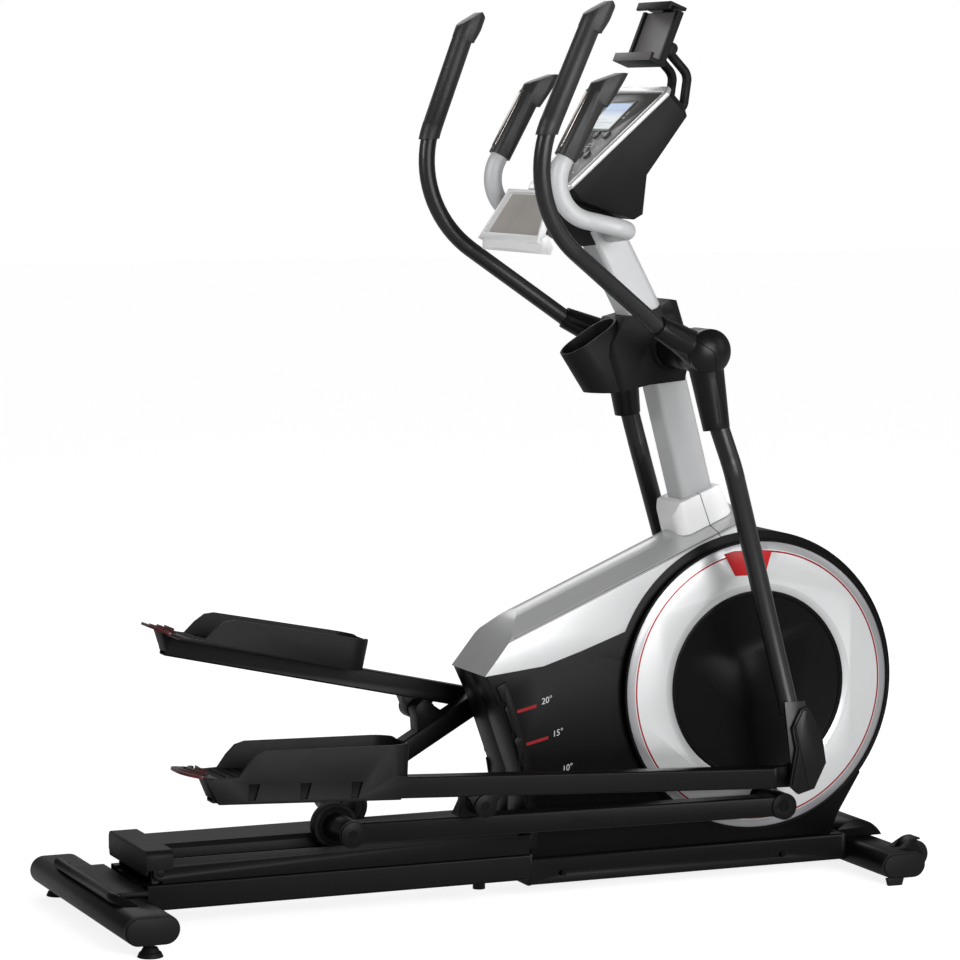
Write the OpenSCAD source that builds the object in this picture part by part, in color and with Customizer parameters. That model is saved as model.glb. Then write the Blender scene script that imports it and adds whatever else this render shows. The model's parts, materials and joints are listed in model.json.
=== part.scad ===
// Elliptical trainer with front crank, rolling ramp and moving arms.
// Frame: +X is the front, +Y is the left side of the user, +Z is up. Millimetres.
// The origin is the middle of the footprint on the floor.
// The rest pose has the right crank pin low and the left one high.

/* [Crank and linkage] */
// Throw of the crank, half of the stride
crank_r = 228; // [200:1:240]
// Forward lean of the right crank pin from straight down, degrees
crank_phase = 3.5; // [0:0.5:10]
// Crank axis, distance forward of the origin
crank_x = 516; // [500:1:530]
// Crank axis height
crank_z = 390; // [380:1:400]
// Roller arm, crank pin to roller axle
arm_len = 897; // [880:1:915]
// Roller arm bar, square side
arm_bar = 40; // [34:1:42]
// Pedal hinge, distance forward of the roller axle
pivot_along = 248.5; // [235:0.5:260]
// Pedal hinge, height above the roller arm centre line
pivot_up = 46; // [42:1:50]
// Pedal arm, pedal hinge to swing arm pivot
pedal_link = 663; // [650:1:675]
// Pedal arm bar height
pedal_bar_h = 40; // [34:1:44]
// Pedal arm bar width
pedal_bar_w = 38; // [32:1:40]
// Swing arm, hub to lower pivot
leg_len = 851; // [840:1:860]
// Radius of the linkage bolts
bolt_r = 10; // [8:0.5:12]
// Running clearance round a bolt
run_fit = 0.05; // [0.03:0.01:0.1]
// Gap between parts that pass each other
pass_gap = 0.5; // [0.3:0.1:1]

/* [Crank discs] */
// Outer radius of a crank disc
disc_r = 288; // [280:1:292]
// Outer radius of the silver ring
ring_r = 282; // [276:1:284]
// Inner radius of the silver ring
ring_in_r = 186; // [178:1:192]
// Distance of the disc face from the middle
disc_face = 105; // [104:0.5:106]
// Thickness of a disc
disc_t = 7; // [6:0.5:8]

/* [Wheels and ramp] */
// Radius of a roller wheel
wheel_r = 43; // [38:0.5:46]
// Width of a roller wheel
wheel_w = 26; // [22:1:28]
// Height of the ramp track when the ramp is flat
track_z = 130; // [127:1:132]
// Half of the ramp width
ramp_half = 115; // [112:1:116]
// Ramp hinge, distance behind the origin
ramp_hinge_back = 715; // [712:1:716]
// Ramp hinge height
ramp_hinge_z = 112; // [110:1:113]
// Height of the raised ramp cover above the track
ramp_crown = 25; // [18:1:28]
// Wall of the ramp pressing
ramp_wall = 4; // [3:0.5:5]

/* [Base] */
// Height of the underside of the rear rails
rail_z = 42; // [40:1:44]
// Height of a rear rail
rail_h = 50; // [46:1:50]
// Width of a rear rail
rail_w = 30; // [26:1:32]
// Wall of the rails
rail_wall = 3; // [2:0.5:4]
// Half length of the rear stabilizer tube
rear_half = 300; // [290:1:305]
// Depth of the rear stabilizer, front to back
stab_d = 104; // [98:1:106]
// Height of the rear stabilizer
stab_h = 54; // [50:1:58]
// Rear stabilizer, distance behind the origin
stab_back = 792; // [791:1:793]
// Half length of the front stabilizer tube
front_half = 240; // [230:1:245]
// Depth of the front stabilizer
front_d = 94; // [90:1:96]
// Height of the front stabilizer
front_h = 50; // [46:1:52]
// Front stabilizer, distance forward of the origin
front_x = 766; // [764:1:768]
// Length of a stabilizer end cap
cap_len = 10; // [8:1:12]
// Radius of a transport wheel
transport_r = 28; // [24:1:29]

/* [Upright and swing arms] */
// Upright section across the machine
upright_w = 76; // [70:1:80]
// Upright section along the machine
upright_d = 70; // [66:1:74]
// Hub of the swing arms, distance forward of the origin
hub_x = 348; // [346:1:350]
// Hub height
hub_z = 1054; // [1050:1:1058]
// Radius of the pivot axle
axle_r = 15; // [12:0.5:16]
// Radius of the hub sleeve
sleeve_r = 28; // [24:1:30]
// Radius of the plastic hub cover
hub_cover_r = 43; // [40:1:46]
// Radius of the lower swing tube
leg_r = 19; // [17:0.5:20]
// Radius of the handle tube
handle_r = 16; // [14:0.5:17]
// Radius of a foam grip
grip_r = 20; // [18:0.5:22]
// Reach of a grip tip in front of its tube
grip_tip = 10; // [6:1:14]
// Bend radius of the handle
handle_bend = 210; // [190:1:225]

/* [Shroud and console] */
// Half width of the shroud
shroud_half = 85; // [84:0.5:86]
// Wall of the shroud
shroud_wall = 3; // [2:0.5:4]
// Radius of the round front of the shroud
shroud_r = 302; // [298:1:306]
// Half width of the console at its top
console_top_half = 130; // [120:1:135]
// Half width of the console at its bottom
console_low_half = 96; // [90:1:105]
// Radius of the pulse bar tube
pulse_r = 17.5; // [16:0.5:18]
// Half distance between the pulse grips
pulse_half = 159; // [155:1:165]

/* [Hidden] */
$fn = 48;

// Colours
black = [0.07, 0.07, 0.08];
charcoal = [0.16, 0.16, 0.17];
silver = [0.78, 0.79, 0.8];
steel = [0.55, 0.56, 0.58];
grey = [0.45, 0.45, 0.46];
red = [0.75, 0.05, 0.08];
rubber = [0.1, 0.1, 0.1];

// Sides: 0 is the right side, 1 is the left side
RIGHT = 0;
LEFT = 1;

// Lateral places, measured outward from the middle
wheel_in = 78;
wheel_out = wheel_in + wheel_w;
arm_in = 150;
arm_out = arm_in + arm_bar;
bolt_head = 4;
pedal_in = arm_out + 6;
pedal_out = pedal_in + pedal_bar_w;
plate_in = pedal_out + 3;
plate_t = 6;
leg_low_y = 222;
seat_gap = 0.3;

// Linkage at rest, worked out for each side
wheel_z = track_z + wheel_r + seat_gap;
phase = [crank_phase, crank_phase + 180];
function pin_x(i) = crank_x + crank_r * sin(phase[i]);
function pin_z(i) = crank_z - crank_r * cos(phase[i]);
function wheel_x(i) = pin_x(i) - sqrt(pow(arm_len, 2) - pow(pin_z(i) - wheel_z, 2));
function arm_tilt(i) = asin((pin_z(i) - wheel_z) / arm_len);
function hinge_x(i) = wheel_x(i) + pivot_along * cos(arm_tilt(i)) - pivot_up * sin(arm_tilt(i));
function hinge_z(i) = wheel_z + pivot_along * sin(arm_tilt(i)) + pivot_up * cos(arm_tilt(i));
function span(i) = norm([hub_x - hinge_x(i), hub_z - hinge_z(i)]);
function bearing_angle(i) = atan2(hub_z - hinge_z(i), hub_x - hinge_x(i));
function link_open(i) = acos((pow(pedal_link, 2) + pow(span(i), 2) - pow(leg_len, 2))
  / (2 * pedal_link * span(i)));
function link_angle(i) = bearing_angle(i) - link_open(i);
function foot_x(i) = hinge_x(i) + pedal_link * cos(link_angle(i));
function foot_z(i) = hinge_z(i) + pedal_link * sin(link_angle(i));
function leg_angle(i) = atan2(foot_x(i) - hub_x, hub_z - foot_z(i));

// Upright axis: straight from the base to the bend at the hub, then leaning back
lean_low = 14.5;
lean_high = 28;
bend_x = 341;
bend_z = 1050;
upright_foot_z = 660;
tube_wall = 3;
upright_top_z = 1292;
function upright_x(z) = z < bend_z ? bend_x + (bend_z - z) * tan(lean_low)
  : bend_x - (z - bend_z) * tan(lean_high);

// ---------- shared shapes ----------

// Cylinder across the machine from y0 to y1
module bar_y(r, y0, y1, x = 0, z = 0) {
  translate([x, y0, z]) rotate([-90, 0, 0]) cylinder(r = r, h = y1 - y0);
}

// Cylinder with different radii across the machine
module cone_y(r0, r1, y0, y1, x = 0, z = 0) {
  translate([x, y0, z]) rotate([-90, 0, 0]) cylinder(r1 = r0, r2 = r1, h = y1 - y0);
}

// Flat outline in the side view, thick from y0 to y1
module side_plate(y0, y1) {
  translate([0, y1, 0]) rotate([90, 0, 0]) linear_extrude(y1 - y0) children();
}

// Rectangle with round corners
module round_rect(w, h, r) {
  square([w - 2 * r, h], center = true);
  square([w, h - 2 * r], center = true);
  for (sx = [-1, 1], sy = [-1, 1])
    translate([sx * (w / 2 - r), sy * (h / 2 - r)]) circle(r);
}

// Flat oval, w long and h high
module oval(w, h) {
  square([w - h, h], center = true);
  for (s = [-1, 1]) translate([s * (w - h) / 2, 0]) circle(h / 2);
}

// Bar along X with a rounded hollow section
module tube_x(length, w, h, wall, r) {
  rotate([90, 0, 90]) linear_extrude(length) difference() {
    round_rect(w, h, r);
    round_rect(w - 2 * wall, h - 2 * wall, max(r - wall, 1));
  }
}

// Block from one corner to the other
module block(a, b) {
  translate(a) cube(b - a);
}

// Cuts each corner of an outline inward by d; the points run anticlockwise
function inset(pts, d) = [for (i = [0:len(pts) - 1])
  let (n = len(pts), a = pts[(i + n - 1) % n], b = pts[i], c = pts[(i + 1) % n],
    u = (b - a) / norm(b - a), v = (c - b) / norm(c - b),
    nu = [-u[1], u[0]], nv = [-v[1], v[0]])
  b + d * (nu + nv) / (1 + nu * nv)];

// Mirrors a left-side shape for the right side
module on_side(i) {
  if (i == LEFT) children();
  else mirror([0, 1, 0]) children();
}

// Places a shape drawn round the roller axle, with +X along the roller arm
module at_arm(i) {
  translate([wheel_x(i), 0, wheel_z]) rotate([0, -arm_tilt(i), 0]) children();
}

// Places a shape drawn round the pedal hinge, with +X towards the swing arm
module at_pedal(i) {
  translate([hinge_x(i), 0, hinge_z(i)]) rotate([0, -link_angle(i), 0]) children();
}

// Places a shape drawn round the hub as the right side stands at rest
module at_hub(i) {
  translate([hub_x, 0, hub_z]) rotate([0, leg_angle(RIGHT) - leg_angle(i), 0])
    children();
}

// Rotation that turns +Z onto the direction d
module aim(d) {
  rotate([0, acos(d[2] / norm(d)), atan2(d[1], d[0])]) children();
}

// Round rod from a to b
module rod(a, b, r) {
  translate(a) aim(b - a) cylinder(r = r, h = norm(b - a));
}

// Arc of rod of bend radius R that turns direction u into v at the corner p
module elbow(p, u, v, R, r) {
  turn = acos(u * v);
  axis = cross(u, v) / norm(cross(u, v));
  inward = cross(axis, u);
  start = p - R * tan(turn / 2) * u;
  centre = start + R * inward;
  out = -inward;
  multmatrix([[out[0], u[0], axis[0], centre[0]], [out[1], u[1], axis[1], centre[1]],
    [out[2], u[2], axis[2], centre[2]], [0, 0, 0, 1]])
    rotate_extrude(angle = turn) translate([R, 0]) circle(r);
}

// Bent rod through points, each inner corner rounded with its own radius. The elbows are
// a little fuller than the straights, which reach a little way into them.
module bent_rod(pts, bends, r) {
  n = len(pts);
  dir = [for (i = [0:n - 2]) (pts[i + 1] - pts[i]) / norm(pts[i + 1] - pts[i])];
  cut = [for (i = [0:n - 1]) i == 0 || i == n - 1 ? 0
    : bends[i - 1] * tan(acos(dir[i - 1] * dir[i]) / 2)];
  for (i = [0:n - 2]) rod(pts[i] + (cut[i] - (i > 0 ? 0.6 : 0)) * dir[i],
    pts[i + 1] - (cut[i + 1] - (i < n - 2 ? 0.6 : 0)) * dir[i], r);
  for (i = [1:n - 2]) elbow(pts[i], dir[i - 1], dir[i], bends[i - 1], r + 0.12);
}

// ---------- base ----------
rail_out = ramp_half;
rail_in = rail_out - rail_w;
rail_back = -stab_back + stab_d / 2;
rail_front = 30;
rail_top = rail_z + rail_h;
ear_in = ramp_half - ramp_wall - 8;
ear_t = 7;
hinge_pin_r = 8;
front_rail_half = 92;
front_rail_z = 26;
front_rail_h = 52;
front_rail_end = front_x - front_d / 2;

module base_frame() color(black) {
  for (s = [-1, 1]) translate([rail_back, s * (rail_in + rail_w / 2), rail_z + rail_h / 2])
    tube_x(rail_front - rail_back, rail_w, rail_h, rail_wall, 5);
  // Cross tubes between the rails
  for (x = [rail_back + 22, -330]) difference() {
    block([x - 20, -rail_in - 1, rail_z], [x + 20, rail_in + 1, rail_top - 6]);
    block([x - 17, -rail_in - 2, rail_z + 3], [x + 17, rail_in + 2, rail_top - 9]);
  }
  // Joint flange that meets the front frame
  block([rail_front - 6, -rail_out, rail_z], [rail_front, rail_out, rail_top]);
  // Ears and pins of the ramp hinge
  for (s = [-1, 1]) {
    y = s > 0 ? ear_in - ear_t : -ear_in;
    side_plate(y, y + ear_t) translate([-ramp_hinge_back, ramp_hinge_z]) {
      circle(13);
      translate([-13, rail_top - ramp_hinge_z - 2]) square([26, ramp_hinge_z - rail_top + 2]);
    }
    bar_y(hinge_pin_r, s > 0 ? ear_in - 1 : -ramp_half, s > 0 ? ramp_half : -ear_in + 1,
      -ramp_hinge_back, ramp_hinge_z);
  }
  // Bolt heads under the rails
  for (s = [-1, 1]) translate([-75, s * (rail_in + rail_w / 2), rail_z - 11])
    cylinder(r = 12, h = 12);
}

module front_frame() color(black) {
  difference() {
    union() {
      for (s = [-1, 1])
        translate([rail_front + 5, s * (front_rail_half - 14), front_rail_z + front_rail_h / 2])
          tube_x(front_rail_end - rail_front - 5 - seat_gap, 28, front_rail_h, rail_wall, 5);
      // Joint flange, cross plates and the floor that carries the mast
      block([rail_front + seat_gap, -front_rail_half, front_rail_z],
        [rail_front + 7, front_rail_half, front_rail_z + 60]);
      block([380, -front_rail_half + 20, front_rail_z + 4],
        [650, front_rail_half - 20, front_rail_z + 12]);
      block([front_rail_end - 8, -front_rail_half, front_rail_z],
        [front_rail_end - seat_gap, front_rail_half, front_rail_z + front_rail_h]);
    }
    // Bolt holes in the side of the rails
    for (x = [100, 575]) bar_y(5, -120, 120, x, front_rail_z + 20);
  }
  mast();
  // Bottom bracket tube across the mast
  difference() {
    bar_y(30, -62, 42, crank_x, crank_z);
    bar_y(20 + run_fit, -63, 63, crank_x, crank_z);
  }
  // Forks that carry the flywheel axle
  for (s = [-1, 1]) {
    y = s > 0 ? 32 : -38;
    side_plate(y, y + 6) difference() {
      polygon([[flywheel_x - 70, front_rail_z + 10], [flywheel_x + 70, front_rail_z + 10],
        [flywheel_x + 22, flywheel_z + 16], [flywheel_x - 22, flywheel_z + 16]]);
      translate([flywheel_x, flywheel_z]) circle(10 + run_fit);
    }
  }
  block([flywheel_x - 80, -front_rail_half + 20, front_rail_z + 4],
    [flywheel_x + 80, front_rail_half - 20, front_rail_z + 12]);
  // Bracket and pin of the idler
  block([300, -front_rail_half + 20, front_rail_z + 4], [400, front_rail_half - 20, front_rail_z + 12]);
  side_plate(36, 41) polygon([[335, front_rail_z + 10], [382, front_rail_z + 10],
    [idler_x + 12, idler_z + 8], [idler_x - 12, idler_z + 8]]);
  bar_y(6, 40, 61, idler_x, idler_z);
  // Bracket and pin of the brake magnets
  side_plate(-48, -43) polygon([[330, front_rail_z + 10], [378, front_rail_z + 10],
    [brake_x + 12, brake_z + 8], [brake_x - 12, brake_z + 8]]);
  bar_y(6, -44, 16, brake_x, brake_z);
}

// Mast inside the shroud that the upright slides over
mast_top = 750;
mast_w = upright_w - 2 * tube_wall - 2 * seat_gap;
mast_d = upright_d - 2 * tube_wall - 2 * seat_gap;
module mast() {
  difference() {
    translate([upright_x(mast_top), 0, mast_top]) rotate([0, -lean_low, 0])
      mirror([0, 0, 1]) linear_extrude((mast_top - front_rail_z) / cos(lean_low) + 30)
        difference() {
          round_rect(mast_d, mast_w, 8);
          round_rect(mast_d - 6, mast_w - 6, 5);
        }
    block([300, -80, -200], [900, 80, front_rail_z + 11]);
    bar_y(25, -60, 60, crank_x, crank_z);
  }
}

module rear_stabilizer() color(black) {
  difference() {
    translate([-stab_back, rear_half, rail_z + 8]) rotate([90, 0, 0])
      linear_extrude(2 * rear_half) oval(stab_d, stab_h);
    // Threaded seats of the levelling feet
    for (s = [-1, 1]) translate([-stab_back, s * foot_y, 0])
      cylinder(r = foot_thread_r + run_fit, h = rail_z + 8);
  }
  // Carrying handle along the rear edge
  bent_rod([[handle_bar_x + 30, -215, rail_z + 28], [handle_bar_x, -180, handle_bar_z],
    [handle_bar_x, 180, handle_bar_z], [handle_bar_x + 30, 215, rail_z + 28]], [30, 30], 10);
}
handle_bar_x = -stab_back - stab_d / 2 + 18;
handle_bar_z = rail_z + 46;
foot_y = 291;
foot_thread_r = 6;

module stabilizer_caps() color(charcoal) {
  for (s = [-1, 1]) {
    translate([-stab_back, s * rear_half, rail_z + 8]) end_cap(s, stab_d, stab_h);
    translate([front_x, s * front_half, front_h / 2 + 13]) end_cap(s, front_d, front_h);
  }
  // Fixed feet moulded under the front caps
  for (s = [-1, 1]) translate([front_x - 20, s * (front_half + cap_len / 2), 0])
    intersection() {
      cylinder(r1 = 15, r2 = 19, h = 15);
      block([-30, -cap_len / 2, 0], [30, cap_len / 2, 20]);
    }
}

// End cap of an oval tube; s is the side that it faces
module end_cap(s, w, h) {
  rotate([s > 0 ? -90 : 90, 0, 0]) {
    linear_extrude(cap_len * 0.6) oval(w, h);
    translate([0, 0, cap_len * 0.6]) linear_extrude(cap_len * 0.4) oval(w - 6, h - 6);
  }
}

module rear_cover_plate() color(charcoal) {
  plate_z = rail_z + 8 + stab_h / 2 + seat_gap;
  translate([0, 0, plate_z]) linear_extrude(9) polygon([
    [handle_bar_x + 10 + seat_gap, -120], [handle_bar_x + 10 + seat_gap, 120], [-stab_back - 8, 140],
    [-ramp_hinge_back - 31, 140], [-ramp_hinge_back - 31, -140], [-stab_back - 8, -140]]);
}

module front_stabilizer() color(black) {
  difference() {
    translate([front_x, front_half, front_h / 2 + 13]) rotate([90, 0, 0])
      linear_extrude(2 * front_half) oval(front_d, front_h);
    // Wells of the transport wheels
    for (s = [-1, 1]) bar_y(transport_r + 3, s * fork_y - fork_half + 4,
      s * fork_y + fork_half - 4, transport_x, transport_z);
  }
  // Fenders and forks of the transport wheels
  for (s = [-1, 1]) transport_fork(s);
}

fork_y = 190;
fork_half = 19;
transport_x = stab_back + stab_d / 2 - transport_r;
transport_z = 20 + transport_r;
module transport_fork(s) {
  for (t = [-1, 1]) {
    y = s * fork_y + (t > 0 ? fork_half - 4 : -fork_half);
    difference() {
      side_plate(y, y + 4) {
        polygon([[front_x + 20, front_h], [transport_x, transport_z - 14],
          [transport_x + 14, transport_z], [transport_x - 18, transport_z + 50],
          [front_x + 4, front_h + 12]]);
        translate([transport_x, transport_z]) circle(14);
      }
      bar_y(5, y - 1, y + 5, transport_x, transport_z);
    }
  }
  bar_y(5, s * fork_y - fork_half, s * fork_y + fork_half, transport_x, transport_z);
  // Curved fender over the wheel
  side_plate(s * fork_y - fork_half, s * fork_y + fork_half) intersection() {
    translate([transport_x, transport_z]) difference() {
      circle(transport_r + 7);
      circle(transport_r + 3);
    }
    polygon([[transport_x - 60, transport_z + 2], [transport_x, transport_z],
      [transport_x + 10, transport_z + 60], [transport_x - 60, transport_z + 60]]);
  }
}

module transport_wheel(s) color(rubber) {
  difference() {
    bar_y(transport_r, s * fork_y - 12, s * fork_y + 12, transport_x, transport_z);
    bar_y(5 + run_fit, s * fork_y - 13, s * fork_y + 13, transport_x, transport_z);
  }
}
module right_transport_wheel() transport_wheel(-1);
module left_transport_wheel() transport_wheel(1);

module front_joint_cover() color(charcoal) {
  // Domed cover over the joint of the front frame and the front stabilizer
  base_z = front_h + 13 + seat_gap;
  difference() {
    side_plate(-62, 62) intersection() {
      translate([front_x - 6, base_z - 30]) circle(64);
      translate([front_x - 70, base_z]) square([130, 80]);
    }
    side_plate(-58, 58) intersection() {
      translate([front_x - 6, base_z - 30]) circle(60);
      translate([front_x - 70, base_z - 1]) square([130, 80]);
    }
    block([0, -100, 0], [front_rail_end + seat_gap, 100, front_rail_z + front_rail_h + seat_gap]);
  }
}

module levelling_foot(s) color(rubber) {
  translate([-stab_back, s * foot_y, 0]) {
    cylinder(r1 = 24, r2 = 20, h = 9);
    translate([0, 0, 9]) cylinder(r1 = 18, r2 = 13, h = 9);
    cylinder(r = foot_thread_r, h = rail_z + 2);
  }
}
module right_levelling_foot() levelling_foot(-1);
module left_levelling_foot() levelling_foot(1);

// ---------- ramp ----------
ramp_end = 0;
track_in = 68;
module ramp() color(black) {
  z0 = rail_top + 1;
  difference() {
    union() {
      translate([-ramp_hinge_back + 3, 0, 0]) rotate([90, 0, 90])
        linear_extrude(ramp_end + ramp_hinge_back - 3) difference() {
          union() {
            translate([-ramp_half, z0]) square([2 * ramp_half, track_z - z0]);
            for (s = [-1, 1]) translate([s * (ramp_half - ramp_wall / 2) - ramp_wall / 2,
              track_z - 1]) square([ramp_wall, 9]);
          }
          translate([-ramp_half + ramp_wall, z0 - 1])
            square([2 * (ramp_half - ramp_wall), track_z - z0 - ramp_wall + 1]);
        }
      // Bosses round the hinge pins
      for (s = [-1, 1]) bar_y(14, s > 0 ? ramp_half - ramp_wall : -ramp_half,
        s > 0 ? ramp_half : -ramp_half + ramp_wall, -ramp_hinge_back, ramp_hinge_z);
      // Front cross bar that hooks into the rack
      block([ramp_end - 12, -ramp_half, z0], [ramp_end, ramp_half, track_z]);
      for (s = [-1, 1]) {
        y = s > 0 ? ramp_half - 24 : -ramp_half;
        block([ramp_end - 1, y, z0], [ramp_end + 24, y + 24, track_z]);
      }
    }
    bar_y(hinge_pin_r + run_fit, -200, 200, -ramp_hinge_back, ramp_hinge_z);
    // Keep the rear of the deck clear of the hinge ears
    for (s = [-1, 1]) {
      y = s > 0 ? ear_in - ear_t - 1 : -ear_in - 1;
      block([-ramp_hinge_back - 20, y, z0 - 5],
        [-ramp_hinge_back + 24, y + ear_t + 2, track_z + 5]);
    }
  }
}

module ramp_cover() color(charcoal) {
  deck = track_z + seat_gap;
  // Raised middle between the two tracks
  translate([-ramp_hinge_back + 24, 0, deck]) rotate([90, 0, 90])
    linear_extrude(ramp_hinge_back + ramp_end - 30) difference() {
      polygon([[-track_in, 0], [track_in, 0], [track_in - 3, ramp_crown - 8],
        [track_in - 12, ramp_crown], [-track_in + 12, ramp_crown],
        [-track_in + 3, ramp_crown - 8]]);
      polygon([[-track_in + 3, -1], [track_in - 3, -1], [track_in - 6, ramp_crown - 9],
        [track_in - 13, ramp_crown - 3], [-track_in + 13, ramp_crown - 3],
        [-track_in + 6, ramp_crown - 9]]);
    }
  // Moulded rear end that spans the whole ramp
  x0 = -ramp_hinge_back - 28;
  x1 = -ramp_hinge_back + 24;
  z0 = ramp_hinge_z - 8;
  y1 = ramp_half + 4;
  difference() {
    translate([x1, 0, 0]) rotate([90, 0, -90]) linear_extrude(x1 - x0) difference() {
      translate([0, (z0 + deck + ramp_crown) / 2])
        round_rect(2 * y1, deck + ramp_crown - z0, 14);
      translate([0, (z0 + deck + ramp_crown) / 2 - 2])
        round_rect(2 * y1 - 7, deck + ramp_crown - z0 - 3, 11);
      translate([-y1, z0 - 1]) square([2 * y1, 16]);
    }
    block([x0 + 3, -ramp_half - seat_gap, z0 - 5],
      [x1 + 1, ramp_half + seat_gap, track_z + 9]);
  }
  translate([x0, 0, 0]) rotate([90, 0, 90]) linear_extrude(3.5)
    intersection() {
      translate([0, (z0 + deck + ramp_crown) / 2])
        round_rect(2 * y1 - 6, deck + ramp_crown - z0 - 2, 12);
      translate([-y1, z0 + 4]) square([2 * y1, 60]);
    }
}

// Notched rack that holds the front of the ramp at each slope
module incline_rack() color(steel) {
  reach = ramp_hinge_back + ramp_end + 30;
  for (s = [-1, 1]) {
    y = s > 0 ? shroud_half + seat_gap : -shroud_half - 4 - seat_gap;
    side_plate(y, y + 4) difference() {
      translate([-ramp_hinge_back, ramp_hinge_z]) intersection() {
        difference() {
          circle(reach + 22, $fn = 180);
          circle(reach, $fn = 180);
        }
        polygon([[0, 0], [900, -0.02 * 900], [900, 900 * tan(24)]]);
      }
      // Notches at 0, 10, 15 and 20 degrees
      for (a = [0, 10, 15, 20]) translate([-ramp_hinge_back + reach * cos(a + 1),
        ramp_hinge_z + reach * sin(a + 1)]) circle(6);
    }
  }
}

// ---------- drive inside the shroud ----------
flywheel_x = 215;
flywheel_z = 300;
flywheel_r = 140;
pulley_r = 140;
small_pulley_r = 30;
belt_y0 = 47;
belt_y1 = 57;
drive_dir = [flywheel_x - crank_x, flywheel_z - crank_z];
drive_span = norm(drive_dir);
belt_sin = (pulley_r - small_pulley_r) / drive_span;
belt_cos = sqrt(1 - belt_sin * belt_sin);
// Outward normal of the lower run of the belt
belt_n = [-drive_dir[1] * belt_cos + drive_dir[0] * belt_sin,
  drive_dir[0] * belt_cos + drive_dir[1] * belt_sin] / drive_span;
idler_r = 22;
idler_off = (pulley_r + small_pulley_r) / 2 + 3 + seat_gap + idler_r;
idler_x = (crank_x + flywheel_x) / 2 + belt_n[0] * idler_off;
idler_z = (crank_z + flywheel_z) / 2 + belt_n[1] * idler_off;
brake_x = flywheel_x + 153 * cos(50);
brake_z = flywheel_z + 153 * sin(50);

module flywheel() color(steel) {
  difference() {
    bar_y(flywheel_r, -18, 18, flywheel_x, flywheel_z, $fn = 96);
    for (s = [-1, 1]) difference() {
      bar_y(flywheel_r - 32, s > 0 ? 9 : -19, s > 0 ? 19 : -9, flywheel_x, flywheel_z);
      bar_y(34, -20, 20, flywheel_x, flywheel_z);
    }
  }
  bar_y(10, -41, 62, flywheel_x, flywheel_z);
  bar_y(small_pulley_r, belt_y0 - 1, belt_y1 + 1, flywheel_x, flywheel_z);
}

module drive_belt() color(rubber) {
  side_plate(belt_y0, belt_y1) difference() {
    hull() {
      translate([crank_x, crank_z]) circle(pulley_r + 3, $fn = 72);
      translate([flywheel_x, flywheel_z]) circle(small_pulley_r + 3);
    }
    hull() {
      translate([crank_x, crank_z]) circle(pulley_r + seat_gap, $fn = 72);
      translate([flywheel_x, flywheel_z]) circle(small_pulley_r + seat_gap);
    }
  }
}

module idler_pulley() color(grey) {
  difference() {
    bar_y(idler_r, belt_y0 - 1, belt_y1 + 1, idler_x, idler_z);
    bar_y(6 + run_fit, belt_y0 - 2, belt_y1 + 2, idler_x, idler_z);
  }
}

module brake_magnets() color(steel) {
  difference() {
    union() {
      side_plate(-16, 16) translate([flywheel_x, flywheel_z]) intersection() {
        difference() {
          circle(156, $fn = 96);
          circle(148, $fn = 96);
        }
        polygon([[0, 0], [220 * cos(50), 220 * sin(50)], [0, 260], [220 * cos(125), 220 * sin(125)]]);
      }
      bar_y(12, -16, 16, brake_x, brake_z);
      // Magnets that face the rim
      for (a = [68, 88, 108]) translate([flywheel_x, 0, flywheel_z]) rotate([0, 90 - a, 0])
        translate([0, 0, 146]) cube([24, 20, 6], center = true);
    }
    bar_y(6 + run_fit, -17, 17, brake_x, brake_z);
  }
}

module resistance_motor() color(charcoal) {
  at_mast(575) {
    block([-mast_d / 2 - seat_gap - 46, -28, -34], [-mast_d / 2 - seat_gap, 28, 34]);
    translate([-mast_d / 2 - seat_gap - 24, 0, -52]) cylinder(r = 16, h = 20);
  }
}

// Frame that follows the slope of the mast at height z
module at_mast(z) {
  translate([upright_x(z), 0, z]) rotate([0, -lean_low, 0]) children();
}

// ---------- crank ----------
crank_face = disc_face - disc_t - seat_gap;
function pin_at(i) = [pin_x(i), 0, pin_z(i)];

module crankset() color(steel) {
  bar_y(20, -crank_face, crank_face, crank_x, crank_z);
  for (i = [RIGHT, LEFT]) on_side(i) {
    // Crank arm and pin
    side_plate(shroud_half + 2, crank_face) {
      translate([crank_x, crank_z]) circle(34);
      translate([pin_x(i), pin_z(i)]) circle(24);
      translate([crank_x, crank_z]) rotate(phase[i] - 90) translate([0, -22])
        square([crank_r, 44]);
    }
    bar_y(bolt_r, crank_face - 1, 110 - pass_gap, pin_x(i), pin_z(i));
  }
  // Drive pulley
  difference() {
    bar_y(pulley_r, belt_y0 - 1, belt_y1 + 1, crank_x, crank_z, $fn = 96);
    for (a = [0:60:300]) bar_y(34, belt_y0 - 2, belt_y1 + 2,
      crank_x + 84 * cos(a), crank_z + 84 * sin(a));
  }
}

module crank_discs() color(black) {
  for (i = [RIGHT, LEFT]) on_side(i) {
    y0 = disc_face - disc_t;
    difference() {
      translate([crank_x, y0, crank_z]) rotate([-90, 0, 0]) rotate_extrude($fn = 120) polygon([
        [0, 0], [disc_r - 3, 0], [disc_r, 3], [disc_r, disc_t - 1.5], [disc_r - 1.5, disc_t],
        [ring_r + 1, disc_t], [ring_r + seat_gap, disc_t - 1], [ring_r + seat_gap, 3],
        [ring_in_r - seat_gap, 3], [ring_in_r - seat_gap, disc_t], [ring_in_r - 6, disc_t],
        [ring_in_r - 10, 4], [66, 4], [62, 6], [0, 6]]);
      bar_y(bolt_r + seat_gap, y0 - 1, disc_face + 1, pin_x(i), pin_z(i));
    }
  }
}

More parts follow.
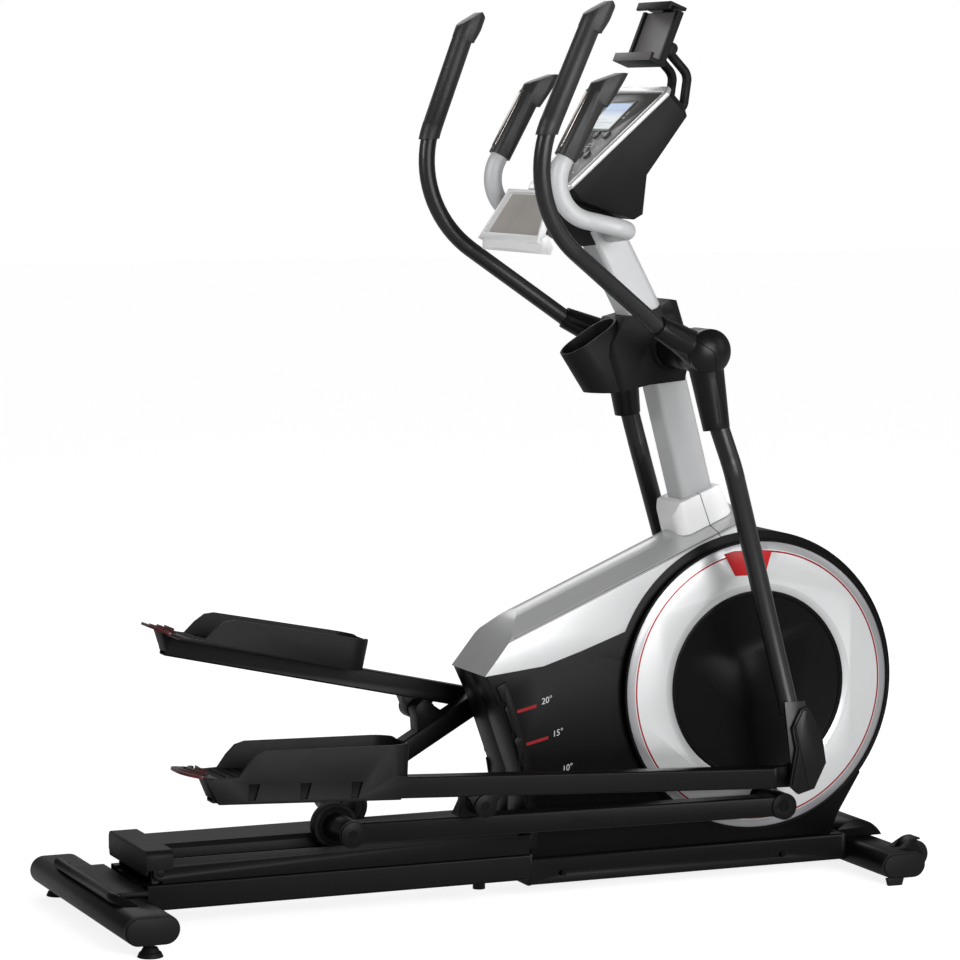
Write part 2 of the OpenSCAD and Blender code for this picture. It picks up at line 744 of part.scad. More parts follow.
ring_bevel = 17;
module disc_rings() color(silver) {
  for (i = [RIGHT, LEFT]) on_side(i) {
    y0 = disc_face - disc_t + 3 + seat_gap;
    difference() {
      translate([crank_x, y0, crank_z]) rotate([-90, 0, 0]) rotate_extrude($fn = 120) polygon([
        [ring_in_r, 0], [ring_r, 0], [ring_r, 1.4], [ring_r - ring_bevel, 4.6], [ring_in_r + 12, 4.6],
        [ring_in_r, 2.2]]);
      bar_y(34, y0 - 1, disc_face + 3, pin_x(i), pin_z(i));
    }
    // Plain badge plate across from the crank pin
    side_plate(y0 + 4.5, y0 + 5.2) translate([crank_x, crank_z]) rotate(i == RIGHT ? 0 : 180)
      translate([-crank_x, -crank_z]) polygon([[463, 607], [528, 607], [542, 651], [522, 656],
      [460, 656], [439, 651]]);
  }
}

// ---------- shroud ----------
shroud_low = front_rail_z + front_rail_h + seat_gap;
body_pts = [[39, shroud_low], [688, shroud_low], [703, 117], [753, 198], [600, 500], [238, 507],
  [142, 473], [66, 449], [-52, 435], [-46, 422], [-25, 376], [22, 241], [27, 188], [27, 130],
  [39, 98]];
module shroud_outline(d) {
  translate([crank_x, crank_z]) circle(shroud_r - d, $fn = 144);
  polygon(d == 0 ? body_pts : inset(body_pts, d));
}

module shroud_side(i) {
  hole = inlet_dir * (shroud_r - 12);
  difference() {
    on_side(i) {
      side_plate(shroud_half - shroud_wall, shroud_half) shroud_outline(0);
      side_plate(seat_gap / 2, shroud_half - shroud_wall + 0.1) difference() {
        shroud_outline(0);
        shroud_outline(shroud_wall);
      }
    }
    bar_y(21.5, -200, 200, crank_x, crank_z);
    block([46, -shroud_half + shroud_wall, shroud_low - 1], [682, shroud_half - shroud_wall,
      shroud_low + 25]);
    at_mast(mast_top) translate([0, 0, -200]) linear_extrude(400)
      round_rect(upright_d + 2 * seat_gap, upright_w + 2 * seat_gap, 12);
    translate([crank_x + hole[0], inlet_y, crank_z + hole[1]]) rotate([0, 90 - inlet_angle, 0])
      cylinder(r = 8 + seat_gap, h = 40);
  }
}
module shroud_right() color(black) shroud_side(RIGHT);
module shroud_left() color(black) shroud_side(LEFT);

// Power inlet on the front of the left half
inlet_angle = -31.7;
inlet_y = 32;
inlet_dir = [cos(inlet_angle), sin(inlet_angle)];
module power_inlet() color(charcoal) {
  at = inlet_dir * (shroud_r - 14);
  translate([crank_x + at[0], inlet_y, crank_z + at[1]]) rotate([0, 90 - inlet_angle, 0])
    difference() {
      union() {
        cylinder(r = 8, h = 15);
        translate([0, 0, 14 + 0.6]) cylinder(r = 13, h = 3);
        cylinder(r = 8, h = 17);
      }
      translate([0, 0, 6]) cylinder(r = 5, h = 20);
      translate([0, 0, 6]) cylinder(r = 1.5, h = 20);
    }
}

// Silver cover over the top of the shroud
roof_slope = 23;
top_pts = [[-56, 435.5], [66, 449.3], [142, 473.3], [238, 507.3], [492, 520], [492, 760],
  [331, 684], [53, 562], [23, 534]];
module roof(d, y = 85) {
  translate([57, 0, 530]) rotate([0, -roof_slope, 0]) translate([-240, 0, 0]) rotate([90, 0, 90])
    linear_extrude(800) polygon([[-y, -400], [y, -400], [y, -6 - d], [y - 5, -d], [34, 20 - d],
      [12, 25 - d], [-12, 25 - d], [-34, 20 - d], [-y + 5, -d], [-y, -6 - d]]);
}
module shroud_top_cover() color(silver) {
  difference() {
    intersection() {
      side_plate(-shroud_half, shroud_half) polygon(top_pts);
      roof(0);
    }
    intersection() {
      side_plate(-shroud_half + 3, shroud_half - 3) for (d = [0, 7, 14])
        translate([0, -d]) polygon(inset(top_pts, 3));
      roof(3, 90);
    }
    side_plate(-90, 90) translate([crank_x, crank_z]) circle(shroud_r + seat_gap, $fn = 144);
    upright_hole();
  }
}

module upright_collar() color(silver) {
  difference() {
    intersection() {
      side_plate(-60, 60) polygon([[330, 620], [500, 640], [491, 713], [453, 782], [369, 748],
        [344, 672]]);
      at_mast(720) translate([0, 0, -120]) linear_extrude(240) round_rect(126, 108, 26);
    }
    roof(-seat_gap, 95);
    upright_hole();
  }
}

// Space of the upright where it passes a cover
module upright_hole() {
  at_mast(720) translate([0, 0, -200]) linear_extrude(400)
    round_rect(upright_d + 2 * seat_gap, upright_w + 2 * seat_gap, 12 + seat_gap);
}

// ---------- upright ----------
// Forged knee between the two tubes of the upright, d larger all round
knee_lip = 0.8;
module knee(d) {
  translate([bend_x, 0, bend_z]) rotate([0, -(lean_low + lean_high) / 2, 0])
    translate([0, 0, -16 - d]) linear_extrude(32 + 2 * d)
      round_rect(upright_d + 2 * d, upright_w + 2 * d, 9 + d);
}
module upright() color(silver) {
  a = (bend_z - upright_foot_z) / cos(lean_low);
  b = (upright_top_z - bend_z) / cos(lean_high);
  w = upright_w - 2 * tube_wall;
  d = upright_d - 2 * tube_wall;
  difference() {
    union() {
      translate([bend_x, 0, bend_z]) {
        rotate([0, -lean_low, 0]) translate([0, 0, -a]) linear_extrude(a - 8)
          round_rect(upright_d, upright_w, 12);
        rotate([0, -lean_high, 0]) translate([0, 0, 8]) linear_extrude(b - 8)
          round_rect(upright_d, upright_w, 12);
      }
      knee(knee_lip);
    }
    // Hollow below and above the solid knee that holds the axle
    translate([bend_x, 0, bend_z]) {
      rotate([0, -lean_low, 0]) translate([0, 0, -a - 10]) linear_extrude(a - 50)
        round_rect(d, w, 9);
      rotate([0, -lean_high, 0]) translate([0, 0, 60]) linear_extrude(b - 63)
        round_rect(d, w, 9);
    }
    bar_y(axle_r + seat_gap, -60, 60, hub_x, hub_z);
  }
}

barrel_out = 150;
knee_half = upright_w / 2 + knee_lip + seat_gap;
module pivot_axle() color(black) {
  bar_y(axle_r, -sleeve_out + 2, sleeve_out - 2, hub_x, hub_z);
  for (s = [-1, 1]) {
    y = s > 0 ? knee_half : -barrel_out;
    bar_y(40, y, y + barrel_out - knee_half, hub_x, hub_z);
    z = s > 0 ? barrel_out - 1 : -sleeve_in + pass_gap;
    bar_y(24, z, z + sleeve_in - barrel_out + 1 - pass_gap, hub_x, hub_z);
  }
}

// Cup drawn on its sloping rim, d smaller all round
cup_tilt = 33;
cup_depth = 112;
module cup(d, low) {
  translate([195, 0, 1075]) rotate([0, -cup_tilt, 0]) translate([0, 0, -low])
    linear_extrude(low + (d > 0 ? 20 : 0)) oval(129 - 2 * d, 90 - 2 * d);
}
module bottle_holder() {
  difference() {
    union() {
      intersection() {
        cup(0, 140);
        side_plate(-60, 60) polygon([[120, 966], [230, 966], [330, 986], [330, 1180],
          [120, 1180]]);
      }
      // Cover that wraps the upright and reaches over the pivot
      intersection() {
        side_plate(-60, 60) polygon([[214, 966], [230, 966], [302, 981], [378, 988], [389, 1040],
          [395, 1104], [384, 1130], [374, 1142], [347, 1146], [322, 1128], [249, 1110],
          [222, 1060]]);
        translate([bend_x, 0, bend_z]) rotate([0, -18, 0]) translate([-36, 0, -140])
          linear_extrude(280) round_rect(182, 106, 26);
      }
      bar_y(46, -74, 74, hub_x, hub_z);
    }
    cup(5, cup_depth);
    // Recess round the front of the cover
    side_plate(50, 60) polygon([[330, 1118], [384, 1118], [384, 1124], [330, 1124]]);
    side_plate(-60, -50) polygon([[330, 1118], [384, 1118], [384, 1124], [330, 1124]]);
    bar_y(40 + seat_gap, -80, 80, hub_x, hub_z);
    for (lean = [lean_low, lean_high]) translate([bend_x, 0, bend_z]) rotate([0, -lean, 0])
      translate([0, 0, lean == lean_low ? -200 : 8]) linear_extrude(192)
        round_rect(upright_d + 2 * seat_gap, upright_w + 2 * seat_gap, 12);
    knee(knee_lip + seat_gap);
  }
}

// ---------- rolling and moving arms, drawn for the left side ----------
barrel_r = 26;
barrel_in = 110;
module roller_axle(i) color(steel) on_side(i) {
  bar_y(16, wheel_in - 6, wheel_in - pass_gap, wheel_x(i), wheel_z);
  bar_y(bolt_r, wheel_in - 1, arm_out + bolt_head + pass_gap, wheel_x(i), wheel_z);
  bar_y(barrel_r - 2, arm_out + bolt_head + seat_gap, arm_out + 8, wheel_x(i), wheel_z);
}
module right_roller_axle() roller_axle(RIGHT);
module left_roller_axle() roller_axle(LEFT);

module roller_wheel(i) color(rubber) on_side(i) {
  difference() {
    bar_y(wheel_r, wheel_in, wheel_out, wheel_x(i), wheel_z, $fn = 72);
    bar_y(bolt_r + run_fit, wheel_in - 1, wheel_out + 1, wheel_x(i), wheel_z);
    for (y = [wheel_in - 1, wheel_out - 2]) difference() {
      bar_y(34, y, y + 3, wheel_x(i), wheel_z);
      bar_y(18, y - 1, y + 4, wheel_x(i), wheel_z);
    }
  }
}
module right_roller_wheel() roller_wheel(RIGHT);
module left_roller_wheel() roller_wheel(LEFT);

module roller_arm(i) color(black) on_side(i) at_arm(i) {
  difference() {
    union() {
      translate([0, (arm_in + arm_out) / 2, 0]) tube_x(arm_len, arm_bar, arm_bar, 3, 4);
      bar_y(barrel_r, wheel_out + 2, arm_out + bolt_head, 0, 0);
      bar_y(barrel_r, barrel_in, arm_out + bolt_head, arm_len, 0);
      // Lug and pin of the pedal hinge
      bar_y(21, arm_in, arm_out, pivot_along, pivot_up);
      side_plate(arm_in, arm_out) polygon([[pivot_along - 34, arm_bar / 2 - 1],
        [pivot_along + 34, arm_bar / 2 - 1], [pivot_along + 21, pivot_up],
        [pivot_along - 21, pivot_up]]);
      bar_y(16, arm_out - 1, pedal_in - pass_gap, pivot_along, pivot_up);
      bar_y(bolt_r, pedal_in - 1, pedal_out + pass_gap + 2, pivot_along, pivot_up);
      bar_y(22, pedal_out + pass_gap, pedal_out + 6, pivot_along, pivot_up);
    }
    bar_y(bolt_r + run_fit, wheel_out, arm_out + bolt_head + 1, 0, 0);
    // Socket in the head of the front bolt
    translate([arm_len, arm_out + bolt_head - 3, 0]) rotate([-90, 0, 0])
      cylinder(r = 9, h = 5, $fn = 6);
  }
}
module right_roller_arm() roller_arm(RIGHT);
module left_roller_arm() roller_arm(LEFT);

// Height and slope of the pedal bar over the line from hinge to swing arm
bar_rise = 37.7;
bar_drop = 3.42;
module at_bar(i) {
  at_pedal(i) translate([0, 0, bar_rise]) rotate([0, bar_drop, 0]) children();
}

module pedal_arm(i) color(black) on_side(i) {
  y = (pedal_in + pedal_out) / 2;
  difference() {
    union() {
      at_bar(i) translate([-533, y, 0]) tube_x(533 + 612, pedal_bar_w, pedal_bar_h, 3, 4);
      at_pedal(i) {
        // Hinge boss under the bar
        bar_y(22, pedal_in, pedal_out, 0, 0);
        side_plate(pedal_in, pedal_out) polygon([[-22, 0], [22, 0], [34, 19], [-34, 20]]);
        // Eye at the swing arm
        bar_y(25, pedal_in, pedal_out, pedal_link, 0);
        side_plate(pedal_in + 8, pedal_out - 8) polygon([[595, -17], [pedal_link, -20],
          [pedal_link, 20], [595, 22]]);
      }
      at_bar(i) side_plate(pedal_in, pedal_out) polygon([[604, -20], [612, -20], [612, 20],
        [604, 20]]);
    }
    at_pedal(i) {
      bar_y(bolt_r + run_fit, pedal_in - 1, pedal_out + 1, 0, 0);
      bar_y(9, pedal_in - 1, pedal_in + 12, pedal_link, 0);
    }
  }
}
module right_pedal_arm() pedal_arm(RIGHT);
module left_pedal_arm() pedal_arm(LEFT);

pedal_y0 = 115;
pedal_y1 = 245;
module pedal_plan(d) {
  r = 45 - d;
  x1 = -146 - d;
  y0 = pedal_y0 + d;
  y1 = pedal_y1 - d;
  polygon([[-541, y0], [x1 - r, y0], [x1 - r, y1], [-541, y1]]);
  polygon([[x1 - r - 1, y0 + r], [x1, y0 + r], [x1, y1 - r], [x1 - r - 1, y1 - r]]);
  for (y = [y0 + r, y1 - r]) translate([x1 - r, y]) circle(r);
}
module pedal(i) color(charcoal) on_side(i) at_bar(i) {
  floor_z = pedal_bar_h / 2 + seat_gap;
  translate([0, 0, floor_z]) linear_extrude(6) pedal_plan(0);
  // Tread ribs
  for (x = [-510:18:-185]) block([x, pedal_y0 + 14, floor_z + 5], [x + 7, pedal_y1 - 14, floor_z + 8]);
  // Side walls, low at the heel
  intersection() {
    translate([0, 0, floor_z + 1]) linear_extrude(70) difference() {
      pedal_plan(0);
      translate([-1, 0]) square([0.01, 0.01]);
      pedal_plan(6);
      translate([-560, pedal_y0 + 6]) square([60, pedal_y1 - pedal_y0 - 12]);
    }
    side_plate(pedal_y0 - 1, pedal_y1 + 1) polygon([[-541, 20], [-140, 20], [-140, 60],
      [-153, 83], [-437, 76], [-456, 70], [-473, 52], [-489, 28], [-541, 24]]);
  }
  // Heel tongue, round in plan and turned up a little, with stepped ribs
  difference() {
    translate([-522, (pedal_y0 + pedal_y1) / 2, floor_z]) rotate([0, 9, 0]) {
      linear_extrude(5) translate([-2, 0]) round_rect(138, 118, 44);
      for (k = [0:2]) translate([0, 0, 4]) linear_extrude(3.5 + 3.5 * k) intersection() {
        translate([15 * k, 0]) difference() {
          circle(60);
          circle(53);
        }
        translate([-80, -44]) square([58, 88]);
      }
    }
    // Flat below, where it lies on the floor of the tray
    block([-600, pedal_y0 - 1, floor_z - 30], [-400, pedal_y1 + 1, floor_z + 1]);
  }
  // Skirt beside the bar, with three leaning pockets
  difference() {
    side_plate(pedal_out + seat_gap, pedal_y1) polygon([[-551, floor_z + 4], [-525, -21],
      [-172, -20], [-160, 4], [-160, floor_z + 4]]);
    for (x = [-470, -370, -270]) side_plate(pedal_y1 - 6, pedal_y1 + 1) polygon([[x, -14],
      [x + 14, -14], [x + 22, 16], [x, 16]]);
  }
  side_plate(pedal_in - 4, pedal_out + 1) polygon([[-551, floor_z + 4], [-534, -12],
    [-533.3, -12], [-533.3, floor_z + 4]]);
}
module right_pedal() pedal(RIGHT);
module left_pedal() pedal(LEFT);

// Swing arm, drawn as the right one stands at rest
sleeve_in = 160;
sleeve_out = 228;
function from_hub(p) = p - [hub_x, 0, hub_z];
leg_pts = [from_hub([334, 190, 1045]), from_hub([400, 219, 830]),
  from_hub([foot_x(RIGHT) - 20, leg_low_y, foot_z(RIGHT) + 126])];
handle_pts = [from_hub([325, 203, 1039]), from_hub([-67, 270, 1343]), from_hub([86, 285, 1702])];
foot = [foot_x(RIGHT) - hub_x, foot_z(RIGHT) - hub_z];
handle_end = 34;

module swing_arm(i) color(black) on_side(i) at_hub(i) {
  tip_dir = (handle_pts[2] - handle_pts[1]) / norm(handle_pts[2] - handle_pts[1]);
  difference() {
    union() {
      bar_y(sleeve_r, sleeve_in, sleeve_out);
      bent_rod(leg_pts, [300], leg_r);
      bent_rod([handle_pts[0], handle_pts[1], handle_pts[2] - handle_end * tip_dir],
        [handle_bend], handle_r);
      // Plate that carries the lower pivot
      side_plate(plate_in, plate_in + plate_t) {
        translate(foot) circle(24);
        polygon([foot + [-24, 0], foot + [24, 0], foot + [2, 150], foot + [-42, 150]]);
      }
    }
    bar_y(axle_r + run_fit, sleeve_in - 40, sleeve_out + 40);
  }
  bar_y(bolt_r, pedal_out + pass_gap, plate_in + 1, foot[0], foot[1]);
}
module right_swing_arm() swing_arm(RIGHT);
module left_swing_arm() swing_arm(LEFT);

// Head of a grip: side outline p, cut from an oval bar of width 2 r along the direction from a to b
module grip_head(a, b, p, r, reach, y) {
  d = (b - a) / norm(b - a);
  intersection() {
    side_plate(y - 60, y + 60) polygon(p);
    translate(b - 70 * d) aim(d) translate([reach / 2, 0, 0]) linear_extrude(140)
      oval(2 * r + reach, 2 * r);
  }
}
module swing_grip(i) color(rubber) on_side(i) at_hub(i) {
  d = (handle_pts[2] - handle_pts[1]) / norm(handle_pts[2] - handle_pts[1]);
  t = [d[0], 0, d[2]] / norm([d[0], 0, d[2]]);
  n = [t[2], 0, -t[0]];
  top = handle_pts[2];
  head = [for (q = [[-grip_r - 2, -48], [grip_r, -48], [grip_r, -44], [grip_r + grip_tip - 1, -14],
    [grip_r + grip_tip, 4], [grip_r + grip_tip - 3, 9], [15, 15.5], [-grip_r - 2, -28.5]])
    [top[0] + q[0] * n[0] + q[1] * t[0], top[2] + q[0] * n[2] + q[1] * t[2]]];
  difference() {
    union() {
      intersection() {
        bent_rod([handle_pts[0], handle_pts[1], top - 30 * d], [handle_bend], grip_r);
        block([-600, 200, 1465 - hub_z], [0, 400, 900]);
      }
      grip_head(handle_pts[1], top, head, grip_r + 0.6, grip_tip, top[1]);
    }
    bent_rod([handle_pts[0], handle_pts[1], top - (handle_end - seat_gap) * d],
      [handle_bend], handle_r + 0.1);
  }
}
module right_swing_grip() swing_grip(RIGHT);
module left_swing_grip() swing_grip(LEFT);

cover_in = 158;
cover_out = 226;
dome_r = 62;
leg_socket = from_hub([371, 207, 905]);
handle_socket = from_hub([242, 217, 1103]);
module cone(a, b, r0, r1) {
  translate(a) aim(b - a) cylinder(r1 = r0, r2 = r1, h = norm(b - a));
}
module swing_covers(i) color(charcoal) on_side(i) at_hub(i) {
  difference() {
    union() {
      bar_y(hub_cover_r, cover_in, cover_out - 3);
      intersection() {
        translate([0, cover_out - sqrt(pow(dome_r, 2) - pow(hub_cover_r + 0.4, 2)), 0])
          sphere(r = dome_r, $fn = 96);
        bar_y(hub_cover_r + 0.4, cover_out - 14, cover_out + 40);
      }
      cone(from_hub([348, 194, 1056]), leg_socket, 36, 26);
      cone(from_hub([350, 194, 1050]), handle_socket, 34, 21);
    }
    bar_y(sleeve_r + seat_gap, cover_in - 1, sleeve_out + seat_gap);
    bent_rod(leg_pts, [300], leg_r + seat_gap);
    bent_rod(handle_pts, [handle_bend], handle_r + seat_gap);
  }
  // Leaf-shaped cover of the lower pivot
  at = [foot_x(RIGHT), foot_z(RIGHT)];
  leaf = [[530, 196], [564, 205], [589, 254], [581, 303], [549, 366], [534, 362], [515, 326],
    [524, 285], [510, 214]];
  side_plate(plate_in + plate_t + seat_gap, plate_in + plate_t + 9)
    polygon([for (p = leaf) p - [hub_x, hub_z]]);
  side_plate(plate_in + plate_t + 8, plate_in + plate_t + 13)
    polygon(inset([for (p = leaf) p - [hub_x, hub_z]], 4));
}
module right_swing_covers() swing_covers(RIGHT);
module left_swing_covers() swing_covers(LEFT);

// ---------- pulse bar ----------
pulse_low = [76, pulse_half, 1421];
pulse_top = [148, pulse_half, 1553];
pulse_dir = (pulse_top - pulse_low) / norm(pulse_top - pulse_low);
module pulse_path(r) {
  pts = [[228, 0, 1272], [212, pulse_half, 1283], pulse_low - 109.5 * pulse_dir,
    pulse_top - 26 * pulse_dir];
  for (i = [RIGHT, LEFT]) on_side(i) bent_rod(pts, [36, 75], r);
}
module pulse_bar() color(silver) {
  difference() {
    pulse_path(pulse_r);
    upright_top_hole();
  }
}
// Space of the upper upright
module upright_top_hole() {
  translate([bend_x, 0, bend_z]) rotate([0, -lean_high, 0])
    linear_extrude((upright_top_z - bend_z) / cos(lean_high) + seat_gap)
      round_rect(upright_d + 2 * seat_gap, upright_w + 2 * seat_gap, 12);
}
// Section along a pulse grip, from below its lower rim
module along_pulse(from, to) {
  translate(pulse_low + from * pulse_dir) aim(pulse_dir) linear_extrude(to - from) children();
}
pulse_grip_r = 20;
pulse_tip = 16;
module pulse_grips() color(rubber) {
  t = pulse_dir;
  n = [t[2], 0, -t[0]];
  head = [for (q = [[-30, -30], [23, -30], [30, 8], [19 + pulse_tip, 44], [17 + pulse_tip, 48],
    [21.3, 42.4], [-30, -12]]) [pulse_top[0] + q[0] * n[0] + q[1] * t[0],
    pulse_top[2] + q[0] * n[2] + q[1] * t[2]]];
  for (i = [RIGHT, LEFT]) on_side(i) difference() {
    union() {
      along_pulse(0, 136) round_rect(2 * pulse_grip_r, 2 * pulse_grip_r, 13);
      grip_head(pulse_low, pulse_top, head, pulse_grip_r + 0.4, pulse_tip, pulse_half);
    }
    pulse_path(pulse_r + 0.1);
    // Slot of the sensor plate on the side of the user
    along_pulse(12, 130) translate([-pulse_grip_r - 2, 0]) square([7, 16], center = true);
  }
}
// Plate let into the rear of each pulse grip
module pulse_sensors() color(steel) {
  for (i = [RIGHT, LEFT]) on_side(i) along_pulse(12 + seat_gap, 130 - seat_gap)
    translate([-pulse_grip_r + 0.1, 0]) square([2.4, 16 - 2 * seat_gap], center = true);
}

// ---------- console ----------
face_low = [105, 1355];
face_top = [314, 1553];
face_angle = atan2(face_top[1] - face_low[1], face_top[0] - face_low[0]);
face_len = norm(face_top - face_low);
// Frame on the console face: X runs up the face, Z points out of it
module at_face(d = 0) {
  translate([face_low[0], 0, face_low[1]]) rotate([0, -face_angle, 0]) translate([0, 0, d])
    children();
}
// Outline of the face, d smaller all round
module face_outline(d) {
  w0 = console_low_half - d;
  w1 = console_top_half - d;
  r = max(16 - d, 4);
  polygon([[d + r, -w0], [face_len - d - r, -w1], [face_len - d, -w1 + r],
    [face_len - d, w1 - r], [face_len - d - r, w1], [d + r, w0], [d, w0 - r], [d, -w0 + r]]);
}
bezel_t = 6;
bezel_w = 16;
housing_pts = [[246, 1302], [263, 1312], [268, 1387], [344, 1499], [344, 1519], [314, 1553],
  [105, 1355], [118, 1346]];
module console_housing() color(charcoal) {
  difference() {
    union() {
      difference() {
        intersection() {
          side_plate(-140, 140) polygon(housing_pts);
          at_face(-300) linear_extrude(300 - bezel_t) face_outline(3);
        }
        intersection() {
          side_plate(-140, 140) polygon(inset(housing_pts, 3));
          at_face(-300) linear_extrude(300 - bezel_t - 3) face_outline(6);
        }
      }
      intersection() {
        neck(0);
        side_plate(-140, 140) polygon([[0, 1200], [300, 1200], [300, 1318], [262, 1311],
          [246, 1302], [130, 1350.3], [0, 1350.3]]);
      }
    }
    // Socket of the upright and room for the pulse bar
    upright_top_hole();
    pulse_path(pulse_r + seat_gap);
  }
}

module console_bezel() color(silver) {
  at_face(-bezel_t + seat_gap) difference() {
    linear_extrude(bezel_t + 4) face_outline(0);
    translate([0, 0, -1]) linear_extrude(bezel_t + 8) face_outline(bezel_w);
  }
}

key_r = 9;
keys = [[101, -30], [101, 4], [156, -34], [156, 12]];
lcd = [172, -20, 72, 104];
module console_panel() color(charcoal) {
  difference() {
    at_face(-bezel_t + seat_gap) {
      linear_extrude(bezel_t) face_outline(bezel_w + seat_gap);
      // Raised screen surround
      translate([lcd[0] - 7, lcd[1] - 8, 0]) cube([lcd[2] + 14, lcd[3] + 16, bezel_t + 1.5]);
    }
    at_face(1.5 - seat_gap) translate([lcd[0], lcd[1], -1]) cube([lcd[2], lcd[3], 6]);
    for (k = keys) at_face(-8) translate([k[0], k[1], 0]) cylinder(r = key_r + 0.4, h = 16);
  }
  at_face(0) translate([lcd[0] + seat_gap, lcd[1] + seat_gap, 0.1])
    cube([lcd[2] - 2 * seat_gap, lcd[3] - 2 * seat_gap, 0.9]);
}
module console_key(k) color(grey) {
  at_face(-4.4) translate([k[0], k[1], 0]) {
    cylinder(r = key_r, h = 6.4);
    translate([0, 0, 6.3]) cylinder(r1 = key_r, r2 = key_r - 1, h = 1);
  }
}
module start_key() console_key(keys[0]);
module stop_key() console_key(keys[1]);
module level_up_key() console_key(keys[2]);
module level_down_key() console_key(keys[3]);

// Tray for small things below the console, with a broad lip at its low edge
tray_low = [36, 1257];
tray_top = [84, 1353];
tray_angle = atan2(tray_top[1] - tray_low[1], tray_top[0] - tray_low[0]);
tray_len = norm(tray_top - tray_low);
module at_tray() {
  translate([tray_low[0], 0, tray_low[1]]) rotate([0, -tray_angle, 0]) children();
}
module console_tray() color(silver) {
  difference() {
    union() {
      at_tray() difference() {
        linear_extrude(13) polygon([[0, -144], [tray_len, -104], [tray_len, 104], [0, 144]]);
        translate([14, 0, 4]) linear_extrude(14) polygon([[0, -132], [tray_len - 20, -97],
          [tray_len - 20, 97], [0, 132]]);
      }
      // Lip, bowed in plan
      intersection() {
        side_plate(-150, 150) polygon([[22, 1249], [34, 1241], [52, 1239], [58, 1252],
          [47, 1276], [30, 1268]]);
        translate([1022, 0, 1200]) cylinder(r = 998, h = 100, $fn = 720);
        translate([0, 0, 1200]) linear_extrude(100) translate([60, 0]) round_rect(90, 292, 22);
      }
    }
    pulse_path(pulse_r + seat_gap);
    neck(seat_gap);
  }
}
// Neck below the console, seen from the side, d larger all round
module neck(d) {
  side_plate(-34 - d, 34 + d) polygon(inset([[70, 1318], [56, 1296], [100, 1283], [156, 1250],
    [170, 1250], [250, 1258], [250, 1325], [120, 1352], [104, 1352]], -d));
}

// ---------- tablet holder ----------
tablet_x = 329;
tablet_z = 1628;
tablet_lean = 22;
tablet_half = 80;
// Frame of the holder, leaning forward about its hinge pin
module at_holder() {
  translate([tablet_x + 14, 0, tablet_z]) rotate([0, tablet_lean, 0])
    translate([-tablet_x - 14, 0, -tablet_z]) children();
}
module tablet_arm() color(charcoal) {
  for (s = [-1, 1]) bent_rod([[344 + seat_gap, s * 33, 1508], [380, s * 33, 1510],
    [390, s * 33, 1578], [tablet_x + 14, s * 33, tablet_z]], [20, 28], 9);
  bar_y(10, -44, 44, tablet_x + 14, tablet_z);
  bar_y(7 - run_fit, -55, 55, tablet_x + 14, tablet_z);
  // Turned knob on the right end of the pin
  bar_y(11, -64, -55 - pass_gap, tablet_x + 14, tablet_z);
  bar_y(6, -56, -54, tablet_x + 14, tablet_z);
}
module tablet_plate() color(charcoal) at_holder() {
  block([tablet_x - 3, -tablet_half, 1590], [tablet_x + 3, tablet_half, 1697]);
  // Raised bars at both sides
  for (s = [-1, 1]) block([tablet_x - 9, s > 0 ? tablet_half - 12 : -tablet_half, 1590],
    [tablet_x + 3.5, s > 0 ? tablet_half : 12 - tablet_half, 1697]);
  // Ledge with a lip
  block([tablet_x - 30, -tablet_half - 4, 1585], [tablet_x + 3, tablet_half + 4, 1593]);
  block([tablet_x - 33, -tablet_half - 4, 1585], [tablet_x - 27, tablet_half + 4, 1602]);
  // Hinge ears behind the plate
  for (s = [-1, 1]) difference() {
    y = s > 0 ? 46 : -54;
    union() {
      bar_y(13, y, y + 8, tablet_x + 14, tablet_z);
      block([tablet_x, y, tablet_z - 13], [tablet_x + 14, y + 8, tablet_z + 13]);
    }
    bar_y(7, y - 1, y + 9, tablet_x + 14, tablet_z);
  }
}
module tablet_clamp() color(black) at_holder() {
  // Sprung top clamp that slides up behind the plate
  block([tablet_x + 3.5 + pass_gap, -22, 1648], [tablet_x + 9, 22, 1709]);
  block([tablet_x - 25, -74, 1702], [tablet_x + 9, 74, 1709]);
  block([tablet_x - 28, -74, 1693], [tablet_x - 22, 74, 1709]);
}

base_frame();
front_frame();
rear_stabilizer();
stabilizer_caps();
rear_cover_plate();
front_stabilizer();
front_joint_cover();
shroud_right();
shroud_left();
shroud_top_cover();
upright_collar();
upright();
pivot_axle();
bottle_holder();
pulse_bar();
pulse_grips();
pulse_sensors();
console_housing();
console_bezel();
console_panel();
console_tray();
tablet_arm();
incline_rack();
resistance_motor();
drive_belt();
power_inlet();
right_levelling_foot();
left_levelling_foot();
right_transport_wheel();
left_transport_wheel();
tablet_plate();
tablet_clamp();
start_key();
stop_key();
level_up_key();
level_down_key();
flywheel();
idler_pulley();
brake_magnets();
crankset();
crank_discs();
disc_rings();
ramp();
ramp_cover();
right_roller_axle();
left_roller_axle();
right_roller_wheel();
left_roller_wheel();
right_roller_arm();
left_roller_arm();
right_pedal_arm();
left_pedal_arm();
right_pedal();
left_pedal();
right_swing_arm();
left_swing_arm();
right_swing_grip();
left_swing_grip();
right_swing_covers();
left_swing_covers();
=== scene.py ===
import json
import math

import bmesh
import bpy
from bpy.props import FloatProperty, FloatVectorProperty, PointerProperty
from mathutils import Matrix, Vector


